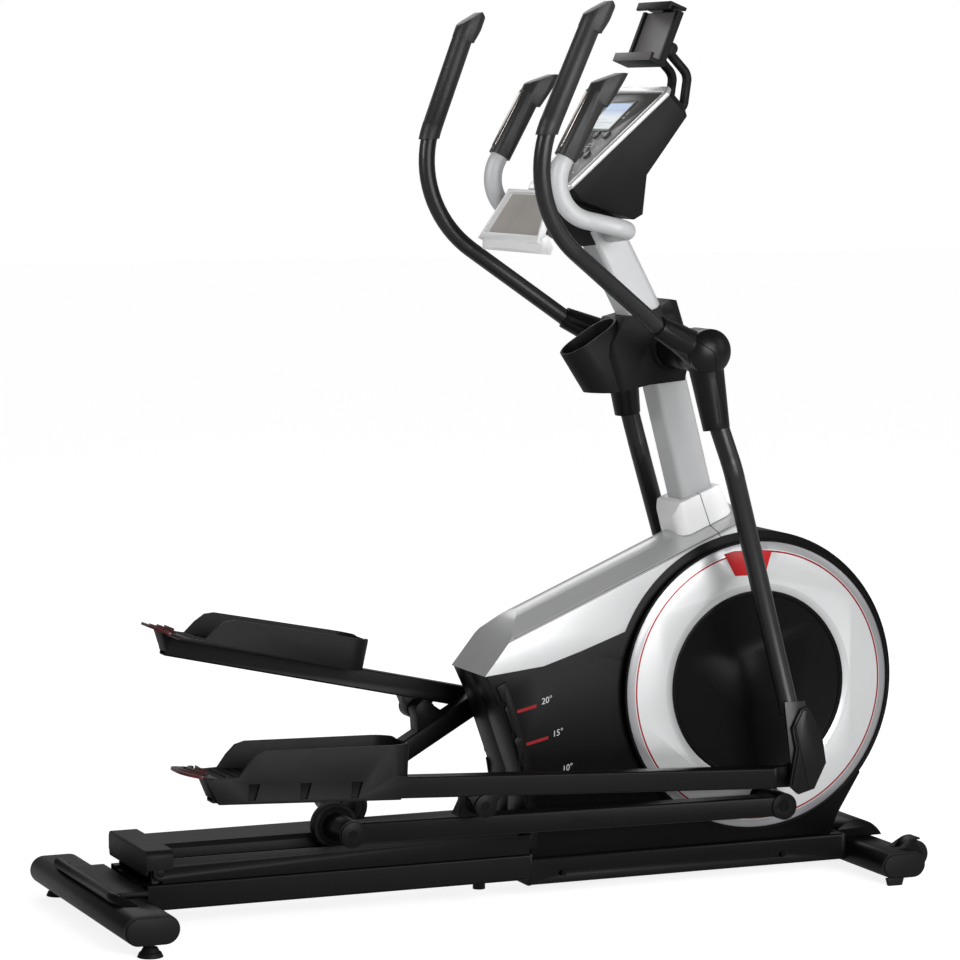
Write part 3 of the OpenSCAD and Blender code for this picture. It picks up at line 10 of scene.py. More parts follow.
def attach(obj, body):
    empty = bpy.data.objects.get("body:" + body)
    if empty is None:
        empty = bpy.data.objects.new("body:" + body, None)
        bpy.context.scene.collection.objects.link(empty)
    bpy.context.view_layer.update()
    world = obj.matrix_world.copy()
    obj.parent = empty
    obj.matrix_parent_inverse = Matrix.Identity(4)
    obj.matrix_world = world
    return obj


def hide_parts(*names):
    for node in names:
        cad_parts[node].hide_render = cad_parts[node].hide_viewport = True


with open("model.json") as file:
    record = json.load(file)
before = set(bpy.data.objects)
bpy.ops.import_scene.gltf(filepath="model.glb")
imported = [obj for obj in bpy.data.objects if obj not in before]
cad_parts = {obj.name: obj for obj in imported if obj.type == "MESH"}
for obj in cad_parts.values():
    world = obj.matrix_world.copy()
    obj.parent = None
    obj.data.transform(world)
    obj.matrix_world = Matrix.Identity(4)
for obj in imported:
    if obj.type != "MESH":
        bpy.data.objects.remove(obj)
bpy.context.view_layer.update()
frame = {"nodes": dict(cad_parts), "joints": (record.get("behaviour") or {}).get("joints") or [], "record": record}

bl_info = {
    "name": "Elliptical Trainer",
    "version": (1, 0, 0),
    "blender": (4, 5, 0),
    "location": "View3D > Sidebar > Trainer",
    "description": "Finishes and details of a front-drive elliptical trainer with a sloping ramp",
    "category": "Object",
}

SLOTS = {s["node"]: s["material_slot"] for s in frame["record"]["subparts"]}
BODIES = {n: b for b, ns in frame["record"]["behaviour"]["bodies"].items() for n in ns}


# ---------------------------------------------------------------- sizes and colours
class TRAINER_PG_sizes(bpy.types.PropertyGroup):
    edge: FloatProperty(name="Edge rounding", description="Rounding of moulded edges",
                        default=0.0016, unit="LENGTH")
    weld: FloatProperty(name="Steel edge rounding", default=0.0011, unit="LENGTH",
                        description="Rounding of tube and plate edges")
    crank_x: FloatProperty(name="Crank forward", description="Crank axis ahead of the origin",
                           default=0.516, unit="LENGTH")
    crank_z: FloatProperty(name="Crank height", description="Crank axis above the floor",
                           default=0.390, unit="LENGTH")
    crank_throw: FloatProperty(name="Crank throw", description="Crank axis to crank pin",
                               default=0.228, unit="LENGTH")
    crank_turn: FloatProperty(name="Crank turn", description="Crank angle from straight down",
                              default=math.radians(3.5), unit="ROTATION")
    pinstripe: FloatProperty(name="Pinstripe radius", default=0.2635, unit="LENGTH",
                             description="Radius of the red line on a disc")


class TRAINER_PG_colours(bpy.types.PropertyGroup):
    steel_black: FloatVectorProperty(name="Black enamel", description="Powder coat of the frame",
                                     subtype="COLOR", size=4, min=0, max=1,
                                     default=(0.0032, 0.0032, 0.0033, 1))
    shell_black: FloatVectorProperty(name="Black shell", description="Moulded shroud and covers",
                                     subtype="COLOR", size=4, min=0, max=1,
                                     default=(0.0027, 0.0027, 0.0028, 1))
    charcoal: FloatVectorProperty(name="Charcoal", description="Textured dark plastic",
                                  subtype="COLOR", size=4, min=0, max=1,
                                  default=(0.0068, 0.0068, 0.0070, 1))
    silver: FloatVectorProperty(name="Silver", description="Silver paint on plastic",
                                subtype="COLOR", size=4, min=0, max=1,
                                default=(0.60, 0.605, 0.61, 1))
    mast: FloatVectorProperty(name="Pale silver",
                              description="Paint of the upright and pulse bar",
                              subtype="COLOR", size=4, min=0, max=1,
                              default=(0.50, 0.505, 0.512, 1))
    pinline: FloatVectorProperty(name="Pinstripe red", description="Red line on the discs",
                                 subtype="COLOR", size=4, min=0, max=1,
                                 default=(0.26, 0.003, 0.006, 1))
    accent: FloatVectorProperty(name="Accent red", description="Badge on the discs",
                                subtype="COLOR", size=4, min=0, max=1,
                                default=(0.42, 0.006, 0.010, 1))


# Side view, as (x, z) in metres: the pivot of the swing arms. Then the length of the pedal
# arm from its hinge to its eye, and of the swing arm from the hub to its lower pivot.
HUB = (0.348, 1.054)
LINK, LEG = 0.663, 0.851
# The pedal bar's own frame: how far it slopes down towards the heel, and how high it lies
BAR_DROP = math.radians(3.42)
BAR_RISE = 0.0377
# The lower and the upper end of the console face, as (x, z)
FACE_LOW, FACE_TOP = (0.105, 1.355), (0.314, 1.553)
FACE_TURN = -math.atan2(FACE_TOP[1] - FACE_LOW[1], FACE_TOP[0] - FACE_LOW[0])
# Each side, and which way it lies along Y
SIDES = (("right", -1), ("left", 1))
# How far out the outer faces of the shroud and of the frame's rails lie
SHROUD_FACE, RAIL_FACE = 0.085, 0.092
# A face counts as square to a direction when its normal runs along it by at least this much
SQUARE = 0.9


def joint_place(name):
    spot = next(j for j in frame["joints"] if j["name"] == name)["pos_m"]
    return spot[0], spot[1], spot[2]


def pedal_frame(side):
    """Hinge of the pedal arm and its slope towards the swing arm at rest."""
    x, _, z = joint_place(side + "_pedal_tilt")
    dx, dz = HUB[0] - x, HUB[1] - z
    span = math.hypot(dx, dz)
    opening = math.acos((LINK ** 2 + span ** 2 - LEG ** 2) / (2 * LINK * span))
    return x, z, math.atan2(dz, dx) - opening


def off_bar(side, point):
    """From the part to the frame of the pedal bar (metres, X towards the front, Z up)."""
    x0, z0, slope = pedal_frame(side)
    x, z = point[0] - x0, point[2] - z0
    x, z = x * math.cos(slope) + z * math.sin(slope), -x * math.sin(slope) + z * math.cos(slope)
    z -= BAR_RISE
    return Vector((x * math.cos(BAR_DROP) - z * math.sin(BAR_DROP), point[1],
                   x * math.sin(BAR_DROP) + z * math.cos(BAR_DROP)))


def leg_slope(side):
    """Lean of the swing arm at rest, from the hub to its lower pivot."""
    x, z, slope = pedal_frame(side)
    return math.atan2(x + LINK * math.cos(slope) - HUB[0], HUB[1] - z - LINK * math.sin(slope))


def on_face(u, v, out=0.0):
    """From the console face (u up the face, v to the left, out of it) to the part."""
    length = math.hypot(FACE_TOP[0] - FACE_LOW[0], FACE_TOP[1] - FACE_LOW[1])
    ux, uz = (FACE_TOP[0] - FACE_LOW[0]) / length, (FACE_TOP[1] - FACE_LOW[1]) / length
    return Vector((FACE_LOW[0] + u * ux - out * uz, v, FACE_LOW[1] + u * uz + out * ux))


def face_box(low, high, bevel=0.0):
    """A box drawn flat, laid on the console face: low and high are (u, v, out)."""
    centre = [(a + b) / 2 for a, b in zip(low, high)]
    clear_selection()
    bpy.ops.mesh.primitive_cube_add(size=1, location=on_face(*centre),
                                    rotation=(0, FACE_TURN, 0),
                                    scale=[b - a for a, b in zip(low, high)])
    obj = settle(bpy.context.object)
    if bevel:
        round_edges(obj, bevel, 1)
    return obj


def sizes():
    return bpy.context.scene.trainer_sizes


def colours():
    return bpy.context.scene.trainer_colours


# ---------------------------------------------------------------- shared shader groups
def new_group(name, inputs, outputs):
    group = bpy.data.node_groups.new(name, "ShaderNodeTree")
    for label, kind, value in inputs:
        socket = group.interface.new_socket(label, in_out="INPUT", socket_type=kind)
        if value is not None:
            socket.default_value = value
    for label, kind in outputs:
        group.interface.new_socket(label, in_out="OUTPUT", socket_type=kind)
    start = group.nodes.new("NodeGroupInput")
    end = group.nodes.new("NodeGroupOutput")
    return group, start, end


def feed(tree, socket, value):
    """Links an output to a socket, or sets the socket when the value is a plain one."""
    if isinstance(value, bpy.types.NodeSocket):
        tree.links.new(value, socket)
    else:
        socket.default_value = value


def maths(tree, operation, *values):
    """A maths node fed by outputs and plain numbers. Gives its result."""
    node = tree.nodes.new("ShaderNodeMath")
    node.operation = operation
    for socket, value in zip(node.inputs, values):
        feed(tree, socket, value)
    return node.outputs[0]


def vector_maths(tree, operation, *values):
    """The same for vectors. Gives the outputs, of which one is a Vector and one a Value."""
    node = tree.nodes.new("ShaderNodeVectorMath")
    node.operation = operation
    for socket, value in zip(node.inputs, values):
        feed(tree, socket, value)
    return node.outputs


def mix_colour(tree, amount, first, second):
    """Blends an output's colour with a plain colour. Gives its result."""
    mix = tree.nodes.new("ShaderNodeMix")
    mix.data_type = "RGBA"
    tree.links.new(amount, mix.inputs[0])
    tree.links.new(first, mix.inputs[6])
    mix.inputs[7].default_value = tuple(second)
    return mix.outputs[2]


def place_of(tree):
    """The place on the unturned piece, which doesn't slide when the piece moves."""
    return tree.nodes.new("ShaderNodeTexCoord").outputs["Object"]


def noise(tree, place, scale, detail):
    """Cloudy noise at a place. Gives its height from 0 to 1."""
    node = tree.nodes.new("ShaderNodeTexNoise")
    node.inputs["Detail"].default_value = detail
    tree.links.new(place, node.inputs["Vector"])
    feed(tree, node.inputs["Scale"], scale)
    return node.outputs["Fac"]


def mottle_group():
    """Soft uneven tone of a moulded or painted face, with the roughness to match."""
    group, start, end = new_group("Surface Mottle", [
        ("Colour", "NodeSocketColor", (0.5, 0.5, 0.5, 1)), ("Spread", "NodeSocketFloat", 0.15),
        ("Size", "NodeSocketFloat", 9.0), ("Roughness", "NodeSocketFloat", 0.4),
        ("Sheen Spread", "NodeSocketFloat", 0.08)],
        [("Colour", "NodeSocketColor"), ("Roughness", "NodeSocketFloat")])
    k = group.links
    place = place_of(group)
    tone = group.nodes.new("ShaderNodeMapRange")
    tone.inputs["From Min"].default_value = 0.3
    tone.inputs["From Max"].default_value = 0.7
    k.new(noise(group, place, start.outputs["Size"], 5), tone.inputs["Value"])
    k.new(maths(group, "SUBTRACT", 1, start.outputs["Spread"]), tone.inputs["To Min"])
    k.new(maths(group, "ADD", 1, start.outputs["Spread"]), tone.inputs["To Max"])
    shade = group.nodes.new("ShaderNodeVectorMath")
    shade.operation = "SCALE"
    k.new(start.outputs["Colour"], shade.inputs[0])
    k.new(tone.outputs["Result"], shade.inputs["Scale"])
    k.new(shade.outputs["Vector"], end.inputs["Colour"])
    centred = maths(group, "SUBTRACT", noise(group, place, 60, 4), 0.5)
    spread = maths(group, "MULTIPLY", centred, start.outputs["Sheen Spread"])
    k.new(maths(group, "ADD", spread, start.outputs["Roughness"]), end.inputs["Roughness"])


def grain_group():
    """Fine pebbled height of textured plastic, powder coat or foam."""
    group, start, end = new_group("Pebble Grain", [
        ("Scale", "NodeSocketFloat", 900.0), ("Flow", "NodeSocketFloat", 0.5)],
        [("Height", "NodeSocketFloat")])
    k = group.links
    place = place_of(group)
    cells = group.nodes.new("ShaderNodeTexVoronoi")
    cells.feature = "SMOOTH_F1"
    cells.inputs["Smoothness"].default_value = 0.6
    k.new(place, cells.inputs["Vector"])
    k.new(start.outputs["Scale"], cells.inputs["Scale"])
    wide = maths(group, "MULTIPLY", start.outputs["Scale"], 0.45)
    mix = group.nodes.new("ShaderNodeMix")
    k.new(start.outputs["Flow"], mix.inputs[0])
    k.new(cells.outputs["Distance"], mix.inputs[2])
    k.new(noise(group, place, wide, 3), mix.inputs[3])
    k.new(mix.outputs[0], end.inputs["Height"])


def brush_group():
    """Fine parallel lines of brushed metal."""
    group, start, end = new_group("Brushed Lines", [
        ("Stretch", "NodeSocketVector", (20.0, 900.0, 20.0))], [("Height", "NodeSocketFloat")])
    drawn = vector_maths(group, "MULTIPLY", place_of(group), start.outputs["Stretch"])["Vector"]
    group.links.new(noise(group, drawn, 1, 3), end.inputs["Height"])


def strip_group():
    """Mask of a straight strip: within Half Width of a plane, on one side of another plane."""
    group, start, end = new_group("Strip Mask", [
        ("Normal", "NodeSocketVector", (1.0, 0.0, 0.0)), ("Offset", "NodeSocketFloat", 0.0),
        ("Half Width", "NodeSocketFloat", 0.0005), ("Side", "NodeSocketVector", (0.0, 0.0, 0.0)),
        ("Limit", "NodeSocketFloat", -1.0)], [("Mask", "NodeSocketFloat")])
    place, given = place_of(group), start.outputs
    along = vector_maths(group, "DOT_PRODUCT", place, given["Normal"])["Value"]
    far = maths(group, "ABSOLUTE", maths(group, "SUBTRACT", along, given["Offset"]))
    across = vector_maths(group, "DOT_PRODUCT", place, given["Side"])["Value"]
    both = maths(group, "MULTIPLY", maths(group, "LESS_THAN", far, given["Half Width"]),
                 maths(group, "GREATER_THAN", across, given["Limit"]))
    group.links.new(both, end.inputs["Mask"])


# ---------------------------------------------------------------- materials
def finish(name, colour, rough=0.4, metal=0.0, spread=0.12, size=9.0, grain=None, bump=0.1,
           flow=0.5, sheen_spread=0.08, coat=0.0, coat_rough=0.1, specular=0.5, brushed=None):
    """A painted, moulded or metal finish, with tone and relief from the shared groups."""
    mat = bpy.data.materials.new(name)
    mat.use_nodes = True
    n, k = mat.node_tree.nodes, mat.node_tree.links
    shader = n["Principled BSDF"]
    shader.inputs["Metallic"].default_value = metal
    shader.inputs["Coat Weight"].default_value = coat
    shader.inputs["Coat Roughness"].default_value = coat_rough
    shader.inputs["Specular IOR Level"].default_value = specular
    tone = n.new("ShaderNodeGroup")
    tone.node_tree = bpy.data.node_groups["Surface Mottle"]
    tone.inputs["Colour"].default_value = tuple(colour)
    tone.inputs["Spread"].default_value = spread
    tone.inputs["Size"].default_value = size
    tone.inputs["Roughness"].default_value = rough
    tone.inputs["Sheen Spread"].default_value = sheen_spread
    k.new(tone.outputs["Colour"], shader.inputs["Base Color"])
    k.new(tone.outputs["Roughness"], shader.inputs["Roughness"])
    if grain or brushed:
        relief = n.new("ShaderNodeBump")
        relief.inputs["Strength"].default_value = bump
        relief.inputs["Distance"].default_value = 0.0006
        source = n.new("ShaderNodeGroup")
        if brushed:
            source.node_tree = bpy.data.node_groups["Brushed Lines"]
            source.inputs["Stretch"].default_value = brushed
        else:
            source.node_tree = bpy.data.node_groups["Pebble Grain"]
            source.inputs["Scale"].default_value = grain
            source.inputs["Flow"].default_value = flow
        k.new(source.outputs["Height"], relief.inputs["Height"])
        k.new(relief.outputs["Normal"], shader.inputs["Normal"])
    return mat


def base_colour(mat):
    """The shader of a finish, and what feeds its colour so far."""
    shader = mat.node_tree.nodes["Principled BSDF"]
    return shader, shader.inputs["Base Color"].links[0].from_socket


def radial_bands(mat, bands, centre):
    """Paints rings of colour on a disc: bands of (inner, outer, colour) about the crank axis."""
    tree = mat.node_tree
    shader, tone = base_colour(mat)
    split = tree.nodes.new("ShaderNodeSeparateXYZ")
    flat = tree.nodes.new("ShaderNodeCombineXYZ")
    tree.links.new(place_of(tree), split.inputs[0])
    for axis, value in zip("XZ", centre):
        tree.links.new(maths(tree, "SUBTRACT", split.outputs[axis], value), flat.inputs[axis])
    radius = vector_maths(tree, "LENGTH", flat.outputs[0])["Value"]
    for inner, outer, colour in bands:
        band = maths(tree, "MULTIPLY", maths(tree, "GREATER_THAN", radius, inner),
                     maths(tree, "LESS_THAN", radius, outer))
        tone = mix_colour(tree, band, tone, colour)
    tree.links.new(tone, shader.inputs["Base Color"])


def add_seams(mat, strips, colour):
    """Draws seams or bars: strips of (normal, a point in the middle, half width, side, limit)."""
    tree = mat.node_tree
    shader, tone = base_colour(mat)
    total = None
    for normal, point, half, side, limit in strips:
        strip = tree.nodes.new("ShaderNodeGroup")
        strip.node_tree = bpy.data.node_groups["Strip Mask"]
        strip.inputs["Normal"].default_value = normal
        strip.inputs["Offset"].default_value = Vector(normal).dot(Vector(point))
        strip.inputs["Half Width"].default_value = half
        strip.inputs["Side"].default_value = side
        strip.inputs["Limit"].default_value = limit
        mask = strip.outputs["Mask"]
        total = mask if total is None else maths(tree, "MAXIMUM", total, mask)
    tree.links.new(mix_colour(tree, total, tone, colour), shader.inputs["Base Color"])
    rough = shader.inputs["Roughness"]
    tree.links.new(maths(tree, "MAXIMUM", rough.links[0].from_socket, total), rough)
    return mat


def seam(direction, through, half=0.0008):
    """A half plane across the part, from a point (x, z) on along a direction (x, z)."""
    size = math.hypot(*direction)
    dx, dz = direction[0] / size, direction[1] / size
    point = Vector((through[0], 0, through[1]))
    return ((dz, 0, -dx), point, half, (dx, 0, dz), dx * through[0] + dz * through[1])


def screen_finish():
    """Pale screen, blue in its upper part, with faint plain bars of a workout display."""
    mat = finish("Screen Glass", (0.50, 0.56, 0.59, 1), rough=0.2, spread=0.04, size=30,
                 sheen_spread=0.02, coat=0.15, coat_rough=0.1)
    tree = mat.node_tree
    shader, tone = base_colour(mat)
    up = (on_face(1, 0) - on_face(0, 0)).normalized()
    level = up.dot(on_face(0.207, 0))
    blend = tree.nodes.new("ShaderNodeMapRange")
    blend.inputs["From Min"].default_value = level - 0.002
    blend.inputs["From Max"].default_value = level + 0.016
    along = vector_maths(tree, "DOT_PRODUCT", place_of(tree), up)["Value"]
    tree.links.new(along, blend.inputs["Value"])
    blue = mix_colour(tree, blend.outputs["Result"], tone, (0.06, 0.24, 0.56, 1))
    tree.links.new(blue, shader.inputs["Base Color"])
    tree.links.new(blue, shader.inputs["Emission Color"])
    shader.inputs["Emission Strength"].default_value = 0.12
    # Each bar lies at a height up the face and starts at a place across it
    bars = [(up, on_face(u, 0), 0.0006, (0, 1, 0), v) for u, v in
            ((0.1805, 0.02), (0.1895, -0.01), (0.1985, 0.035), (0.222, -0.018))]
    return add_seams(mat, bars, (0.42, 0.50, 0.56, 1))


def build_finishes():
    c = colours()
    for make_group in (mottle_group, grain_group, brush_group, strip_group):
        make_group()
    return {
        "black_steel": finish("Black Enamel", c.steel_black, 0.38, spread=0.18, grain=700,
                              bump=0.14, specular=0.12),
        "silver_paint": finish("Pale Silver Paint", c.mast, 0.52, metal=0.10, spread=0.03,
                               grain=1500, bump=0.03, coat=0.08, coat_rough=0.4),
        "black_plastic": finish("Black Moulding", c.shell_black, 0.33, spread=0.15, grain=1100,
                                bump=0.08, specular=0.075),
        "charcoal_plastic": finish("Charcoal Grain Plastic", c.charcoal, 0.50, spread=0.16,
                                   grain=800, bump=0.3, specular=0.14),
        "silver_plastic": finish("Silver Moulding", c.silver, 0.30, metal=0.45, spread=0.03,
                                 grain=1800, bump=0.03, coat=0.35, coat_rough=0.15),
        "bright_steel": finish("Brushed Steel", (0.42, 0.42, 0.43, 1), 0.30, metal=1,
                               spread=0.08, brushed=(30, 30, 900), bump=0.15),
        "wheel_rubber": finish("Wheel Rubber", (0.006, 0.006, 0.006, 1), 0.55, grain=500,
                               bump=0.3, specular=0.15),
        "foam": finish("Foam Sleeve", (0.015, 0.0147, 0.0147, 1), 0.42, grain=620, bump=0.8,
                       flow=0.35, specular=0.38),
        "cast": finish("Cast Flywheel", (0.10, 0.10, 0.105, 1), 0.45, metal=0.8, grain=240,
                       bump=0.4),
        "sensor_chrome": finish("Sensor Metal", (0.30, 0.27, 0.25, 1), 0.22, metal=1,
                                spread=0.08, brushed=(40, 700, 40), bump=0.1),
        "key_plastic": finish("Key Cap", (0.05, 0.05, 0.052, 1), 0.4, grain=900, bump=0.15),
        "belt_rubber": finish("Belt Rubber", (0.012, 0.012, 0.012, 1), 0.7, grain=400,
                              bump=0.3),
        "tray_floor": finish("Tray Floor", (0.36, 0.335, 0.315, 1), 0.42, spread=0.10,
                             grain=900, bump=0.15, specular=0.3),
        "panel_grey": finish("Panel Grey", (0.060, 0.058, 0.057, 1), 0.38, spread=0.08,
                             grain=1200, bump=0.08, specular=0.3),
        "plate_grey": finish("Plate Grey", (0.125, 0.118, 0.120, 1), 0.45, spread=0.10,
                             grain=900, bump=0.2, specular=0.3),
        "heel_red": finish("Heel Red", (0.085, 0.003, 0.006, 1), 0.30, spread=0.2, grain=900,
                           bump=0.1, coat=0.2),
        "heel_grey": finish("Heel Grey", (0.070, 0.050, 0.050, 1), 0.34, spread=0.2, grain=900,
                            bump=0.15),
        "tube_gloss": finish("Arm Enamel", (0.0085, 0.0085, 0.009, 1), 0.34, spread=0.18,
                             grain=700, bump=0.12, specular=0.4),
        "mark_red": finish("Slope Red", (0.26, 0.004, 0.008, 1), 0.45, spread=0.10, grain=1500,
                           bump=0.03, specular=0.2),
        "mark_pale": finish("Pale Mark", (0.55, 0.55, 0.55, 1), 0.5, spread=0.06, grain=1500,
                            bump=0.03),
        # Near-black: the pivot screws' own dark, and painted shade on the pedal pocket floors and in the rail
        # holes
        "dark_and_shade": finish("Screw Dark And Painted Shade", (0.0018, 0.0018, 0.002, 1), 0.5, spread=0.2,
                              grain=900, bump=0.1, specular=0.1),
        "track_gloss": finish("Track Gloss", (0.0028, 0.0026, 0.0026, 1), 0.12, spread=0.15,
                              grain=1500, bump=0.02, specular=0.25),
        "accent_red": finish("Accent Red", c.accent, 0.40, spread=0.05, grain=1500, bump=0.02,
                             specular=0.25),
        "screen": screen_finish(),
    }


FINISH = {}


# ---------------------------------------------------------------- modelling helpers
def clear_selection():
    if bpy.context.object and bpy.context.object.mode != "OBJECT":
        bpy.ops.object.mode_set(mode="OBJECT")
    bpy.ops.object.select_all(action="DESELECT")


def pick(obj):
    clear_selection()
    obj.hide_set(False)
    obj.select_set(True)
    bpy.context.view_layer.objects.active = obj


def settle(obj):
    """Moves the place of a finished piece into its mesh."""
    pick(obj)
    bpy.ops.object.transform_apply(location=True, rotation=True, scale=True)
    return obj


def dress(obj, name, body, finish_name, smooth=35):
    """Names a finished piece, gives it its finish and lets it ride on its body."""
    obj.name = name
    obj.data.name = name
    obj.data.materials.clear()
    obj.data.materials.append(FINISH[finish_name])
    pick(obj)
    bpy.ops.object.shade_smooth_by_angle(angle=math.radians(smooth))
    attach(obj, body)
    return obj


def soften(node, width, finish_name=None, angle=34, segments=2, smooth=35):
    """A copy of a CAD node with its edges rounded, which is shown in its place.

    Pairs of widths and angles round the sharpest edges first and the blunter ones after."""
    source = frame["nodes"][node]
    obj = bpy.data.objects.new("soft_" + node, source.data.copy())
    bpy.context.scene.collection.objects.link(obj)
    pick(obj)
    bpy.ops.object.mode_set(mode="EDIT")
    bpy.ops.mesh.select_all(action="SELECT")
    bpy.ops.mesh.remove_doubles(threshold=0.00002)
    bpy.ops.mesh.dissolve_limited(angle_limit=math.radians(0.6))
    bpy.ops.object.mode_set(mode="OBJECT")
    steps = zip(width, angle) if isinstance(width, tuple) else ((width, angle),)
    for size, limit in steps:
        round_edges(obj, size, segments, limit)
    dress(obj, "shown_" + node, BODIES[node], finish_name or SLOTS[node], smooth)
    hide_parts(node)
    return obj


def shape_box(low, high):
    """A box between two corners."""
    clear_selection()
    bpy.ops.mesh.primitive_cube_add(size=1, location=[(a + b) / 2 for a, b in zip(low, high)],
                                    scale=[b - a for a, b in zip(low, high)])
    return settle(bpy.context.object)


def turn_about(obj, point, angle):
    """Turns a finished piece about a line through a point, along Y."""
    spot = Vector(point)
    obj.matrix_world = (Matrix.Translation(spot) @ Matrix.Rotation(angle, 4, "Y")
                        @ Matrix.Translation(-spot))
    return settle(obj)


def round_edges(obj, width, segments=2, angle=30):
    """Rounds the edges at which the faces turn by more than the angle."""
    pick(obj)
    bevel = obj.modifiers.new("Edge", "BEVEL")
    bevel.width = width
    bevel.segments = segments
    bevel.limit_method = "ANGLE"
    bevel.angle_limit = math.radians(angle)
    bpy.ops.object.modifier_apply(modifier="Edge")


def select_faces(obj, test):
    """Selects in edit mode the faces whose centre and normal pass the test. Counts them."""
    pick(obj)
    bpy.ops.object.mode_set(mode="EDIT")
    bpy.ops.mesh.select_mode(type="FACE")
    bpy.ops.mesh.select_all(action="DESELECT")
    mesh = bmesh.from_edit_mesh(obj.data)
    count = 0
    for face in mesh.faces:
        if test(face.calc_center_median(), face.normal):
            face.select_set(True)
            count += 1
    bmesh.update_edit_mesh(obj.data)
    return count


def paint(obj, finish_name, test):
    """Gives the chosen faces a second finish."""
    obj.data.materials.append(FINISH[finish_name])
    if not select_faces(obj, test):
        raise RuntimeError("no face of %s to paint %s" % (obj.name, finish_name))
    obj.active_material_index = len(obj.data.materials) - 1
    bpy.ops.object.material_slot_assign()
    bpy.ops.object.mode_set(mode="OBJECT")


def move_points(obj, test, shift):
    """Moves the points of a piece that pass the test."""
    pick(obj)
    bpy.ops.object.mode_set(mode="EDIT")
    bpy.ops.mesh.select_all(action="DESELECT")
    mesh = bmesh.from_edit_mesh(obj.data)
    for vert in mesh.verts:
        vert.select_set(test(vert.co))
    mesh.select_flush_mode()
    bmesh.update_edit_mesh(obj.data)
    bpy.ops.transform.translate(value=shift)
    bpy.ops.object.mode_set(mode="OBJECT")


def step_face(inset, shift):
    """In edit mode, steps the chosen face in from its edge and then out or in by a shift."""
    bpy.ops.mesh.inset(thickness=inset)
    bpy.ops.mesh.extrude_region_move(TRANSFORM_OT_translate={"value": shift})


def disc(sides, radius, depth, x, y, z):
    """A flat round or many-sided piece square to Y."""
    clear_selection()
    bpy.ops.mesh.primitive_cylinder_add(vertices=sides, radius=radius, depth=depth,
                                        location=(x, y, z), rotation=(math.pi / 2, 0, 0))
    return settle(bpy.context.object)


def hex_socket(x, y, z, radius, side):
    """Bolt face with a six-sided socket, looking out along Y on the given side."""
    obj = disc(6, radius, 0.0012, x, y, z)
    select_faces(obj, lambda c, n: n.y * side > SQUARE)
    step_face(radius * 0.28, (0, -side * 0.001, 0))
    bpy.ops.object.mode_set(mode="OBJECT")
    return obj


def join(pieces):
    """Makes one piece of several. It is the first of them."""
    clear_selection()
    for piece in pieces:
        piece.select_set(True)
    bpy.context.view_layer.objects.active = pieces[0]
    if len(pieces) > 1:
        bpy.ops.object.join()
    return pieces[0]


def cap_bolt(x, z, face, side, radius):
    """Button-headed screw on a face square to Y, with a sunk six-sided socket."""
    head = disc(32, radius, 0.0016, x, face + side * 0.0006, z)
    select_faces(head, lambda c, n: n.y * side > SQUARE)
    step_face(radius * 0.22, (0, side * 0.0008, 0))
    step_face(radius * 0.34, (0, -side * 0.0016, 0))
    bpy.ops.object.mode_set(mode="OBJECT")
    socket = hex_socket(x, face + side * 0.0004, z, radius * 0.44, side)
    return join([head, socket])


def pin_spot(side):
    """Where the crank pin of a side stands at rest."""
    s = sizes()
    sign = 1 if side == "right" else -1
    return (s.crank_x + sign * s.crank_throw * math.sin(s.crank_turn),
            s.crank_z - sign * s.crank_throw * math.cos(s.crank_turn))


def flat_text(words, size, centre, slope, side, depth=0.0003):
    """Raised figures on a face square to Y, read from the given side."""
    clear_selection()
    bpy.ops.object.text_add()
    obj = bpy.context.object
    obj.data.body = words
    obj.data.size = size
    obj.data.extrude = depth
    obj.data.shear = 0.25
    obj.data.align_x = "CENTER"
    obj.data.align_y = "CENTER"
    bpy.ops.object.convert(target="MESH")
    obj = bpy.context.object
    across = Vector((-side * math.cos(slope), 0, -side * math.sin(slope)))
    up = Vector((-math.sin(slope), 0, math.cos(slope)))
    out = Vector((0, side, 0))
    turn = Matrix((across, up, out)).transposed().to_4x4()
    obj.matrix_world = Matrix.Translation(Vector(centre)) @ turn
    return settle(obj)


# ---------------------------------------------------------------- stage
def studio_air():
    """White behind the trainer, and a dimmer white that lights it."""
    world = bpy.data.worlds.new("Studio Air")
    world.use_nodes = True
    n, k = world.node_tree.nodes, world.node_tree.links
    air = n["Background"]
    air.inputs["Color"].default_value = (1, 1, 1, 1)
    air.inputs["Strength"].default_value = 0.24
    backdrop = n.new("ShaderNodeBackground")
    backdrop.inputs["Color"].default_value = (1, 1, 1, 1)
    rays = n.new("ShaderNodeLightPath")
    choose = n.new("ShaderNodeMixShader")
    k.new(rays.outputs["Is Camera Ray"], choose.inputs[0])
    k.new(air.outputs[0], choose.inputs[1])
    k.new(backdrop.outputs[0], choose.inputs[2])
    k.new(choose.outputs[0], n["World Output"].inputs["Surface"])
    return world


def floor_finish():
    """Pale floor that looks nearly white but doesn't light the trainer as strongly."""
    mat = bpy.data.materials.new("Pale Floor")
    mat.use_nodes = True
    n, k = mat.node_tree.nodes, mat.node_tree.links
    shader = n["Principled BSDF"]
    shader.inputs["Base Color"].default_value = (0.6, 0.6, 0.6, 1)
    shader.inputs["Roughness"].default_value = 0.8
    shader.inputs["Specular IOR Level"].default_value = 0.1
    shader.inputs["Emission Color"].default_value = (1, 1, 1, 1)
    seen = n.new("ShaderNodeLightPath")
    glow = n.new("ShaderNodeMapRange")
    glow.inputs["To Min"].default_value = 0.25
    glow.inputs["To Max"].default_value = 0.84
    k.new(seen.outputs["Is Camera Ray"], glow.inputs["Value"])
    k.new(glow.outputs["Result"], shader.inputs["Emission Strength"])
    return mat


